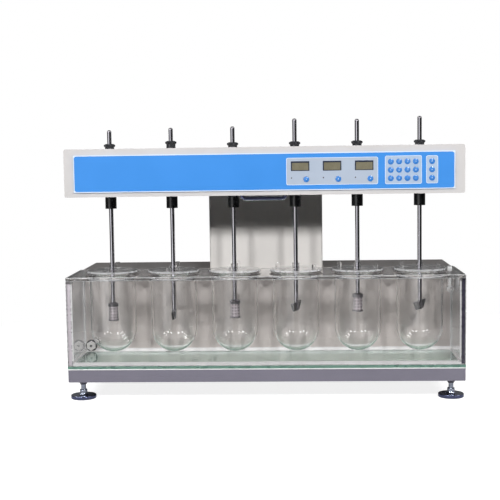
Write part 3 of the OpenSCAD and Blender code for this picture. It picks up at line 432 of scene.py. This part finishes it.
def dress_ports(node):
    """White drain nut and tube, black gasket, and clear filling elbow. The bore is black as painted
    shade in the hole, and the elbow's mouth opaque white as painted highlight of its cut edge.
    """
    low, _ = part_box(node)
    drain_x, drain_z = low.x + 14 * MM, GLASS_HIGH.z + 20 * MM
    bore_r, thread_r = 3.2 * MM, 7.02 * MM
    gasket_low, gasket_high = PLATE_HIGH.y - 12.2 * MM, PLATE_HIGH.y - 9.9 * MM

    def choose(face):
        if face.center.x > 0:
            # Front faces of the elbow's mouth: opaque white, as painted highlight of its cut edge
            return 3 if face.normal.y < -0.9 else 2
        reach = math.hypot(face.center.x - drain_x, face.center.z - drain_z)
        in_gasket = reach > thread_r and gasket_low < face.center.y < gasket_high
        # Bore in black rubber as painted shade in the hole; the gasket is black rubber
        return 1 if reach < bore_r or in_gasket else 0
    dress(node, nut_white, gasket_rubber_and_bore_shade, lid_clear, bond_white, choose=choose)


def dress_handle(node):
    """Bright bar whose front faces take navy metal as painted reflection of the dark side of the room.
    """
    dress(node, handle_chrome, navy_painted_reflection, choose=lambda face: int(face.normal.y < -0.75))


def dress_walls(node):
    """Clear sheets, with sawn edges for ease. Behind the front sheet, the bonded end of the left end
    sheet is painted pale and that of the right one dark, as painted reflections of the room's bright
    left and dark right."""
    low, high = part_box(node)
    end_x = high.x - 11 * MM
    end_low, end_high = low.y + 9 * MM, low.y + 11 * MM

    def choose(face):
        at_end = abs(face.center.x) > end_x and end_low < face.center.y < end_high
        # Right end dark, left end pale: painted reflections
        if at_end and abs(face.normal.y) > 0.9:
            return 2 if face.center.x > 0 else 3
        return 0
    dress(node, clear_sheet, sawn_edge, dark_end_painted_reflection, pale_end_painted_reflection, choose=choose)


def dress_plate(node):
    """Clear sheet, with sawn edges for ease. Its upright edges dim the lamps' light."""
    dress(node, clear_sheet, sawn_edge, sheet_edge, choose=lambda face: 2 if stands(face) else 0)


def dress_glass(node):
    """Clear sheet of glass with green ground edges."""
    dress(node, base_glass, glass_edge, choose=lambda face: int(stands(face)))


def dress_tray(node):
    """Grey tray with a pale top under the glass."""
    dress(node, base_paint, tray_top_paint, choose=lambda face: int(on_top(face, TRAY_HIGH.z)))


def dress_housing(node):
    """Hood in the cream paint lightened as painted light, with a grey top darkened as painted shade of
    the head above it; its mains inlet is moulded black.
    """
    half_w, half_h = 15 * MM, 11 * MM
    inlet_low, inlet_high = HOUSING_HIGH.y - 17 * MM, HOUSING_HIGH.y - 0.5 * MM

    def choose(face):
        # The hood's top takes the painted shade
        if on_top(face, HOUSING_HIGH.z):
            return 2
        spot = face.center
        near = abs(spot.x - INLET_X) < half_w and abs(spot.z - INLET_Z) < half_h
        return 1 if near and inlet_low < spot.y < inlet_high else 0
    dress(node, housing_paint, socket_black, hood_top_painted_shade, choose=choose)


def dress_solids():
    """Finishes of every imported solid."""
    plain = {
        "lift_rods": guide_steel, "vessels": vessel_glass, "water_circuit": circuit_metal,
        "head_shell": cream_paint, "head_deck": deck_metal, "control_panel": panel_blue,
        "display_windows": display_glass, "column": column_paint,
        "gas_strut": strut_black, "spindle_bearings": bearing_steel, "drive_motor": motor_grey,
        "timing_belt": belt_rubber, "drive_pulley": pulley_metal,
    }
    for node, finish in plain.items():
        dress(node, finish)
    for node in KEYS:
        dress(node, key_blue)
    for node in FEET:
        # Feet: chrome, with their upright rims in navy metal as painted reflection
        dress_disc(node, foot_chrome, navy_painted_reflection, limit=0.6)
    for node in LIDS:
        dress_disc(node, lid_clear, sawn_edge)
    for node in SPINDLES:
        dress_spindle(node)
    for node in STIRRERS:
        dress_stirrer(node)
    dress_plate("vessel_plate")
    dress_handle("lift_handle")
    dress_walls("tank_walls")
    dress_glass("tank_base_glass")
    dress_ports("bath_ports")
    dress_tray("base_tray")
    dress_housing("rear_housing")
    ease("tank_base_glass", 0.6 * MM, sink=0.05 * MM)
    ease("tank_walls", 1.0 * MM, sink=0.05 * MM, finish=1)
    ease("vessel_plate", 1.2 * MM, sink=0.05 * MM, finish=1)
    for node in LIDS:
        ease(node, 0.5 * MM)
    ease("head_shell", 1.0 * MM)
    ease("control_panel", 0.3 * MM)
    ease("base_tray", 0.8 * MM)


def add_piece(name, mesh, finish, body):
    """New piece that rides on a body."""
    piece = bpy.data.objects.new(name, mesh)
    bpy.context.scene.collection.objects.link(piece)
    mesh.materials.clear()
    mesh.materials.append(finish)
    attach(piece, body)
    return piece


def mesh_of(name, build, outward=True):
    """Mesh of a finished build, with its faces turned outward where they may not be yet."""
    if outward:
        bmesh.ops.recalc_face_normals(build, faces=build.faces)
    mesh = bpy.data.meshes.new(name)
    build.to_mesh(mesh)
    build.free()
    return mesh


def joined(name, meshes):
    """One mesh of several."""
    build = bmesh.new()
    for mesh in meshes:
        build.from_mesh(mesh)
        bpy.data.meshes.remove(mesh)
    return mesh_of(name, build, outward=False)


def bridge(build, inner, outer):
    """Faces between two closed rings of points. The inner one may be a single point."""
    count = len(outer)
    for k in range(count):
        following = (k + 1) % count
        corners = [inner[0]] if len(inner) == 1 else [inner[following], inner[k]]
        build.faces.new(corners + [outer[k], outer[following]])


def round_loop(low, high, radius, steps=6):
    """Closed loop of points round a rectangle with round corners."""
    corners = ((high[0], high[1]), (low[0], high[1]), (low[0], low[1]), (high[0], low[1]))
    points = []
    for turn, (x, z) in enumerate(corners):
        side_x = -1 if turn in (0, 3) else 1
        side_z = -1 if turn in (0, 1) else 1
        for step in range(steps + 1):
            angle = math.radians(90 * (turn + step / steps))
            points.append((x + side_x * radius + radius * math.cos(angle),
                           z + side_z * radius + radius * math.sin(angle)))
    return points


def circle_loop(x, z, radius, steps=32):
    """Closed loop of points round a circle."""
    turns = [2 * math.pi * step / steps for step in range(steps)]
    return [(x + radius * math.cos(turn), z + radius * math.sin(turn)) for turn in turns]


def front_plate(name, loops, back_y, thickness, finish, body):
    """Flat piece that faces the front, cut from an outer loop and the loops of its holes."""
    curve = bpy.data.curves.new(name, "CURVE")
    curve.dimensions = "2D"
    curve.fill_mode = "BOTH"
    edge = thickness / 4
    curve.extrude = thickness / 2 - edge
    curve.bevel_depth = edge
    curve.bevel_resolution = 1
    curve.offset = -edge
    for loop in loops:
        spline = curve.splines.new("POLY")
        spline.points.add(len(loop) - 1)
        spline.use_cyclic_u = True
        for point, (x, z) in zip(spline.points, loop):
            point.co = (x, z, 0, 1)
    draft = bpy.data.objects.new(name + "_draft", curve)
    bpy.context.scene.collection.objects.link(draft)
    final = draft.evaluated_get(bpy.context.evaluated_depsgraph_get())
    mesh = bpy.data.meshes.new_from_object(final)
    bpy.data.objects.remove(draft)
    mesh.name = name
    upright = Matrix.Rotation(math.pi / 2, 4, "X")
    mesh.transform(Matrix.Translation((0, back_y - thickness / 2, 0)) @ upright)
    return add_piece(name, mesh, finish, body)


def key_holes(prefix):
    """Loops round the keys of one group, a little wider than the keys."""
    clearance = 0.5 * MM
    loops = []
    for node in KEYS:
        if node.startswith(prefix):
            low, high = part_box(node)
            middle = centre_of(node)
            loops.append(circle_loop(middle.x, middle.z, (high.x - low.x) / 2 + clearance))
    return loops


def grown(low, high, amount):
    """Corners of a rectangle grown by an amount on every side."""
    return (low[0] - amount, low[1] - amount), (high[0] + amount, high[1] + amount)


def window_boxes():
    """Lower and upper corner, in x and z, of each of the three display windows."""
    low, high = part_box("display_windows")
    width = 41 * MM
    pitch = (high.x - low.x - width) / 2
    return [((low.x + i * pitch, low.z), (low.x + i * pitch + width, high.z)) for i in range(3)]


def printed_fields(windows, face_y, film):
    """Pale fields with bright outlines round the displays and the keys."""
    outline = 1.2 * MM
    outer_r, inner_r, window_r = 4 * MM, 3 * MM, 0.6 * MM
    fields = {
        "display_field": ((52.2, 484.9), (255.7, 545.5), "set_key", windows, field_print),
        "keypad_field": ((271.1, 484.5), (352.2, 547.3), "pad_key", [], keypad_print),
        "function_field": ((361.9, 485.2), (387.9, 546.7), "func_key", [], keypad_print),
    }
    for name, (field_low, field_high, keys, cuts, finish) in fields.items():
        low = tuple(part * MM for part in field_low)
        high = tuple(part * MM for part in field_high)
        inner = round_loop(*grown(low, high, -outline), inner_r)
        holes = key_holes(keys) + [round_loop(*cut, window_r, 3) for cut in cuts]
        front_plate(name, [inner, *holes], face_y, film, finish, "head")
        front_plate(name + "_outline", [round_loop(low, high, outer_r), inner],
                    face_y, 1.5 * film, white_print, "head")


def display_trim(windows, face_y):
    """Navy frame round each display, widest above and to the left, as painted shadow of a recess, and
    the signal lamp below its left end.
    """
    thickness = 0.6 * MM
    outer_r, inner_r = 0.6 * MM, 0.4 * MM
    # Widths of the painted shadow on each side of a display
    left, right, below, above = 2.4 * MM, 2.0 * MM, 1.4 * MM, 3.4 * MM
    lamp_left, lamp_z = 19.3 * MM, 500.7 * MM
    dome = [(0, 0.9), (0.8, 0.8), (1.3, 0.45), (1.5, 0), (1.9, 0)]
    for i, (low, high) in enumerate(windows, 1):
        inner_low = (low[0] + left, low[1] + below)
        inner_high = (high[0] - right, high[1] - above)
        loops = [round_loop(low, high, outer_r, 3), round_loop(inner_low, inner_high, inner_r, 3)]
        front_plate(f"display_bezel_{i}", loops, face_y, thickness, recess_painted_shadow, "head")
        name = f"signal_lamp_{i}"
        place = ((low[0] + high[0]) / 2 - lamp_left, face_y, lamp_z)
        add_piece(name, turned(name, dome, place, "-Y"), lamp_dark, "head")


def printed_panel():
    """White border, printed fields, painted recess shadows round the displays, and signal lamps on the
    blue panel.
    """
    face_y = PANEL_LOW.y
    film = 0.16 * MM
    border = 2.2 * MM
    outer_r, inner_r = 2 * MM, 5 * MM
    low, high = (PANEL_LOW.x, PANEL_LOW.z), (PANEL_HIGH.x, PANEL_HIGH.z)
    loops = [round_loop(low, high, outer_r), round_loop(*grown(low, high, -border), inner_r)]
    front_plate("panel_border", loops, face_y, film, white_print, "head")
    windows = window_boxes()
    printed_fields(windows, face_y, film)
    display_trim(windows, face_y)


# Strokes of a printed figure: their middles in halves of its width and height, and whether they stand
STROKES = {"a": (0, 1, False), "b": (1, 0.5, True), "c": (1, -0.5, True), "d": (0, -1, False),
           "e": (-1, -0.5, True), "f": (-1, 0.5, True), "g": (0, 0, False)}
FIGURES = ("bc", "abged", "abgcd", "fgbc", "afgcd", "afgedc", "abc", "abcdefg", "abcfgd", "abcdef",
           "g", "adg")


def figure_loops(figure, x, z, half_width, half_height):
    """Pointed strokes of one printed figure round a middle."""
    half_thick = 0.14 * half_height
    loops = []
    for place_x, place_z, is_upright in (STROKES[letter] for letter in figure):
        reach = 0.84 * (half_height / 2 if is_upright else half_width)
        flat = reach - half_thick
        run = [(reach, 0), (flat, half_thick), (-flat, half_thick),
               (-reach, 0), (-flat, -half_thick), (flat, -half_thick)]
        if is_upright:
            run = [(b, a) for a, b in run]
        middle_x, middle_z = x + place_x * half_width, z + place_z * half_height
        loops.append([(middle_x + a, middle_z + b) for a, b in run])
    return loops


def triangle_loop(x, z, size, turn):
    """Triangle round a middle."""
    points = [turn + math.radians(angle) for angle in (90, 210, 330)]
    return [(x + size * math.cos(angle), z + size * math.sin(angle)) for angle in points]


def key_marks():
    """White figures on the keypad, and plain signs on the other keys."""
    size = 1.6 * MM
    film = 0.12 * MM
    pad = [node for node in KEYS if node.startswith("pad_key")]
    pad.sort(key=lambda node: (-round(centre_of(node).z, 3), centre_of(node).x))
    others = [node for node in KEYS if node not in pad]
    for node in KEYS:
        spot = centre_of(node)
        if node in pad:
            loops = figure_loops(FIGURES[pad.index(node)], spot.x, spot.z, 0.55 * size, size)
        else:
            turn = math.pi if others.index(node) % 2 else 0
            loops = [triangle_loop(spot.x, spot.z, size, turn)]
        front_plate(node + "_mark", loops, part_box(node)[0].y + film / 2, film, white_print, node)


AXIS_TURNS = {
    "-Y": Matrix.Rotation(math.pi / 2, 4, "X"),
    "+Y": Matrix.Rotation(-math.pi / 2, 4, "X"),
    "+X": Matrix.Rotation(math.pi / 2, 4, "Y"),
    "-X": Matrix.Rotation(-math.pi / 2, 4, "Y"),
}


def turned(name, profile, place, axis):
    """Mesh of a turned shape: radius and height in millimetres from its middle outwards."""
    steps = 24
    build = bmesh.new()
    rings = []
    for radius, height in profile:
        loop = circle_loop(0, 0, radius * MM, steps) if radius else [(0, 0)]
        rings.append([build.verts.new((x, y, height * MM)) for x, y in loop])
    for inner, outer in zip(rings, rings[1:]):
        bridge(build, inner, outer)
    for face in build.faces:
        face.smooth = True
    mesh = mesh_of(name, build)
    mesh.transform(Matrix.Translation(place) @ AXIS_TURNS[axis])
    return mesh


def block(name, middle, span, edge, taper=1.0):
    """Box with rounded edges, whose back end narrows to a share of its section."""
    build = bmesh.new()
    bmesh.ops.create_cube(build, size=1)
    for vert in build.verts:
        x, y, z = vert.co
        share = taper if y > 0 else 1.0
        vert.co = middle + Vector((x * share * span.x, y * span.y, z * share * span.z))
    bmesh.ops.bevel(build, geom=list(build.edges), offset=edge, segments=2, affect="EDGES")
    return mesh_of(name, build)


def bead(name, start, end, sides, width, rise=1.0):
    """Hollow fillet of adhesive in the corner along a line. Sides are the two ways out of the corner."""
    first, second = Vector(sides[0]), Vector(sides[1]) * rise
    steps = 5
    section = [Vector((0, 0, 0))]
    for step in range(steps + 1):
        angle = math.radians(90 * step / steps)
        section.append(first * width * (1 - math.sin(angle)) + second * width * (1 - math.cos(angle)))
    build = bmesh.new()
    rings = [[build.verts.new(Vector(spot) + point) for point in section] for spot in (start, end)]
    bridge(build, *rings)
    for ring in rings:
        build.faces.new(ring)
    return mesh_of(name, build)


def bath_floor(low, high):
    """Clear sheet that lies on the glass inside the bath, with pale bonded edges."""
    mesh = block("bath_floor", (low + high) / 2, high - low, 0.4 * MM)
    add_piece("bath_floor", mesh, floor_clear, "frame")
    mesh.materials.append(bond_white)
    for face in mesh.polygons:
        face.material_index = int(stands(face, 0.9))


def bath_beads():
    """Floor sheet of the bath, and milky beads along its inside corners."""
    wall = 10.2 * MM
    width = 4.5 * MM
    sheet = 5.5 * MM
    gap = 0.1 * MM
    floor_low = Vector((GLASS_LOW.x + wall, GLASS_LOW.y + wall, GLASS_HIGH.z + gap))
    high = Vector((GLASS_HIGH.x - wall, GLASS_HIGH.y - wall, PLATE_LOW.z - 3 * gap))
    bath_floor(floor_low, Vector((high.x, high.y, floor_low.z + sheet)))
    low = Vector((floor_low.x, floor_low.y, floor_low.z + sheet + gap))
    up = (0, 0, 1)
    front_left, front_right = (low.x, low.y, low.z), (high.x, low.y, low.z)
    back_left, back_right = (low.x, high.y, low.z), (high.x, high.y, low.z)
    floor = [
        bead("front", front_left, front_right, ((0, 1, 0), up), 0.5 * width),
        bead("back", back_left, back_right, ((0, -1, 0), up), width, rise=1.7),
        bead("left", front_left, back_left, ((1, 0, 0), up), width),
        bead("right", front_right, back_right, ((-1, 0, 0), up), width),
    ]
    corners = []
    for x, side_x in ((low.x, (1, 0, 0)), (high.x, (-1, 0, 0))):
        for y, side_y in ((low.y, (0, 1, 0)), (high.y, (0, -1, 0))):
            foot, top = (x, y, low.z + width), (x, y, high.z)
            corners.append(bead("corner", foot, top, (side_x, side_y), 0.6 * width))
    add_piece("bath_floor_beads", joined("bath_floor_beads", floor), bond_white, "frame")
    add_piece("bath_corner_beads", joined("bath_corner_beads", corners), bond_white, "frame")


def edge_highlight_line():
    """White bead between the glass and the tray, along the front and the ends: painted highlight of the
    tray's top edge.
    """
    height = 2.2 * MM
    bulge, root = 0.35 * MM, 0.02 * MM
    top = GLASS_LOW.z + 0.4 * MM
    reach = HOUSING_LOW.y - 2 * MM
    left, right, front = TRAY_LOW.x, TRAY_HIGH.x, TRAY_LOW.y
    route = [(left, reach), (left, front), (right, front), (right, reach)]
    outward = [(-1, 0), (-1, -1), (1, -1), (1, 0)]
    section = [(root, 0), (bulge, 0.3 * height), (bulge, 0.7 * height), (root, height)]
    build = bmesh.new()
    rings = []
    for (x, y), (out_x, out_y) in zip(route, outward):
        points = [(x + out_x * out, y + out_y * out, top - drop) for out, drop in section]
        rings.append([build.verts.new(point) for point in points])
    for one, other in zip(rings, rings[1:]):
        for k in range(len(section) - 1):
            build.faces.new((one[k], one[k + 1], other[k + 1], other[k]))
    add_piece("base_edge_highlight", mesh_of("base_edge_highlight", build), bond_white, "frame")


def screw_mesh(place, axis):
    """Button-head screw with a six-sided socket."""
    radius = 3.4
    socket_r = 0.5 * radius
    steps = 24

    def hexagon(angle):
        return socket_r * math.cos(math.pi / 6) / math.cos((angle % (math.pi / 3)) - math.pi / 6)
    levels = [(None, 0.7), (None, radius * 0.55), (radius * 0.7, radius * 0.52),
              (radius * 0.92, radius * 0.3), (radius, 0.0)]
    build = bmesh.new()
    rings = []
    for reach, height in levels:
        ring = []
        for k in range(steps):
            angle = 2 * math.pi * k / steps
            r = hexagon(angle) if reach is None else reach
            spot = Vector((r * math.cos(angle), r * math.sin(angle), height)) * MM
            ring.append(build.verts.new(spot))
        rings.append(ring)
    build.faces.new(rings[0])
    for inner, outer in zip(rings, rings[1:]):
        bridge(build, inner, outer)
    mesh = mesh_of("screw", build)
    mesh.transform(Matrix.Translation(place) @ AXIS_TURNS[axis])
    return mesh


def back_screws(low, high, inset):
    """Two rows of screws along the back of a cover's box."""
    screws = []
    for z in (low.z + inset, high.z - inset):
        for share in (0.0, 0.25, 0.5, 0.75, 1.0):
            x = low.x + inset + share * (high.x - low.x - 2 * inset)
            screws.append(screw_mesh((x, high.y, z), "+Y"))
    return screws


def fasteners():
    """Cover screws on the back of the housing, and on the back and the ends of the head."""
    inset = 12 * MM
    housing = back_screws(HOUSING_LOW, HOUSING_HIGH, inset)
    add_piece("housing_screws", joined("housing_screws", housing), screw_steel, "frame")
    head = back_screws(HEAD_LOW, HEAD_HIGH, inset)
    for x, axis in ((HEAD_LOW.x, "-X"), (HEAD_HIGH.x, "+X")):
        for y in (HEAD_LOW.y + 4 * inset, HEAD_HIGH.y - 2 * inset):
            head.append(screw_mesh((x, y, HEAD_LOW.z + 1.4 * inset), axis))
    add_piece("head_screws", joined("head_screws", head), screw_steel, "head")


def mains_pins():
    """Three flat pins in the mains inlet."""
    size = Vector((2, 11, 4)) * MM
    middle_y = HOUSING_HIGH.y - 10.4 * MM
    pins = []
    for x, z in ((0, 3.0), (-7, -2.5), (7, -2.5)):
        middle = Vector((INLET_X + x * MM, middle_y, INLET_Z + z * MM))
        pins.append(block("pin", middle, size, 0.3 * MM, taper=0.6))
    add_piece("mains_pins", joined("mains_pins", pins), screw_steel, "frame")


# The studio as metal and glass show it: its back wall, and its tones from left to right of the front
BACKDROP = 0.14
ROOM = ((0.0, 0.05), (0.1, 0.12), (0.17, 1.1), (0.375, 1.5), (0.425, 0.12), (0.62, 0.07), (0.68, 0.03),
        (1.0, 0.015))
AMBIENT = 0.05

# Lamps, each pair to the left and right: azimuth, elevation, width, height and power
FRONT_LAMPS = ((23, 29.5, 0.34, 0.32, 24.5), (44, 24, 0.34, 0.5, 7.5), (65, 31, 0.34, 0.8, 7.5),
               (88, 34, 0.34, 0.8, 7.5))
BACK_LAMPS = (32, 20, 0.4, 0.7, 13)
LAMP_DISTANCE = 2.6
LAMP_TARGET = Vector((0, -0.05, 0.3))


def add_lamp(name, azimuth, elevation, width, height, power):
    """Soft upright lamp that looks at the middle of the object."""
    side, rise = math.radians(azimuth), math.radians(elevation)
    level = math.cos(rise)
    away = Vector((math.sin(side) * level, -math.cos(side) * level, math.sin(rise)))
    data = bpy.data.lights.new(name, "AREA")
    data.shape = "RECTANGLE"
    data.size = width
    data.size_y = height
    data.energy = power
    piece = bpy.data.objects.new(name, data)
    bpy.context.scene.collection.objects.link(piece)
    piece.location = LAMP_TARGET + away * LAMP_DISTANCE
    piece.rotation_mode = "QUATERNION"
    piece.rotation_quaternion = away.to_track_quat("Z", "Y")
    piece.visible_camera = False
    return piece


def studio_lamps():
    """Lamps in front and to the sides, and two behind that metal and glass don't show."""
    for i, (azimuth, *rest) in enumerate(FRONT_LAMPS, 1):
        add_lamp(f"left_lamp_{i}", -azimuth, *rest)
        add_lamp(f"right_lamp_{i}", azimuth, *rest)
    azimuth, *rest = BACK_LAMPS
    for i, side in enumerate((-1, 1), 1):
        back = add_lamp(f"back_lamp_{i}", 180 + side * azimuth, *rest)
        back.visible_glossy = False
        back.visible_transmission = False


def studio_world():
    """White backdrop for the camera, and a dim studio with a pale left side in metal and glass."""
    world = bpy.data.worlds.new("studio")
    bpy.context.scene.world = world
    s = Shader(world, "ShaderNodeOutputWorld")
    way = s.add("SeparateXYZ", {0: s.add("TexCoord").outputs["Generated"]}).outputs
    across = s.span(way["X"], 0.0, 1.0, start=-1.0, end=1.0)
    behind = s.span(way["Y"], 0.0, 1.0, start=-0.1, end=0.3)
    above = s.span(way["Z"], 0.0, 0.3, start=0.45, end=0.95)
    front = s.ramp(across, *[(place, grey(tone)) for place, tone in ROOM])
    around = s.add("MixRGB", {"Fac": behind, "Color1": front, "Color2": grey(BACKDROP)})
    tone = s.calc("MAXIMUM", around.outputs[0], above)
    dim = s.add("Background", {"Color": WHITE, "Strength": AMBIENT})
    room = s.add("Background", {"Color": WHITE, "Strength": tone})
    white = s.add("Background", {"Color": WHITE, "Strength": 1.0})
    path = s.add("LightPath").outputs
    mirrored = s.calc("MAXIMUM", path["Is Glossy Ray"], path["Is Transmission Ray"])
    is_direct = s.calc("LESS_THAN", path["Diffuse Depth"], 0.5)
    lit = s.mix(s.calc("MULTIPLY", mirrored, is_direct), dim, room)
    s.surface(s.mix(path["Is Camera Ray"], lit, white))


def studio_floor():
    """Pale floor that keeps the object's shadow near it and runs out to white."""
    size = 8.0
    build = bmesh.new()
    bmesh.ops.create_grid(build, x_segments=8, y_segments=8, size=size)
    mesh = mesh_of("floor", build, outward=False)
    mesh.transform(Matrix.Translation((0, 0, CAD_LOW.z - 0.2 * MM)))
    s = material("pale_floor")
    reach = s.add("VectorMath", {0: s.place()}, operation="LENGTH").outputs["Value"]
    far = s.span(reach, 0.0, 1.0, start=0.55, end=1.3)
    path = s.add("LightPath").outputs
    mirrored = s.calc("MAXIMUM", path["Is Glossy Ray"], path["Is Transmission Ray"])
    seen = s.calc("MAXIMUM", s.calc("MULTIPLY", mirrored, BACKDROP), path["Is Camera Ray"])
    strength = s.span(seen, 0.0, 0.85, start=0.0, end=1.0)
    matt = s.add("BsdfDiffuse", {"Color": grey(0.5)})
    glow = s.add("Emission", {"Color": WHITE, "Strength": strength})
    near = s.add("AddShader", {0: matt.outputs[0], 1: glow.outputs[0]})
    white = s.add("Emission", {"Color": WHITE, "Strength": 1.0})
    rim = s.mix(path["Is Camera Ray"], s.add("BsdfTransparent"), white)
    mesh.materials.append(s.surface(s.mix(far, near, rim)))
    floor = bpy.data.objects.new("floor", mesh)
    bpy.context.scene.collection.objects.link(floor)


def photo_camera():
    """Camera at the photograph's place, aim and lens."""
    place = Vector((0.072534, -2.517826, 0.552868))
    yaw, pitch, roll = 0.043962, 0.089739, -0.01398
    level = math.cos(pitch)
    ahead = Vector((-math.sin(yaw) * level, math.cos(yaw) * level, -math.sin(pitch)))
    right = Vector((math.cos(yaw), math.sin(yaw), 0))
    up = right.cross(ahead)
    across = right * math.cos(roll) + up * math.sin(roll)
    upward = up * math.cos(roll) - right * math.sin(roll)
    data = bpy.data.cameras.new("photo_camera")
    data.sensor_width = 36.0
    data.lens = 75.93
    camera = bpy.data.objects.new("photo_camera", data)
    bpy.context.scene.collection.objects.link(camera)
    turn = Matrix((across, upward, -ahead)).transposed()
    camera.matrix_world = Matrix.Translation(place) @ turn.to_4x4()
    bpy.context.scene.camera = camera


def studio():
    """Lamps, world, floor, camera and light paths."""
    studio_lamps()
    studio_world()
    studio_floor()
    photo_camera()
    scene = bpy.context.scene
    scene.view_settings.view_transform = "Standard"
    scene.cycles.max_bounces = 24
    scene.cycles.transmission_bounces = 24
    scene.cycles.transparent_max_bounces = 32
    scene.cycles.caustics_reflective = False
    scene.cycles.caustics_refractive = False


dress_solids()
printed_panel()
key_marks()
bath_beads()
edge_highlight_line()
fasteners()
mains_pins()
studio()
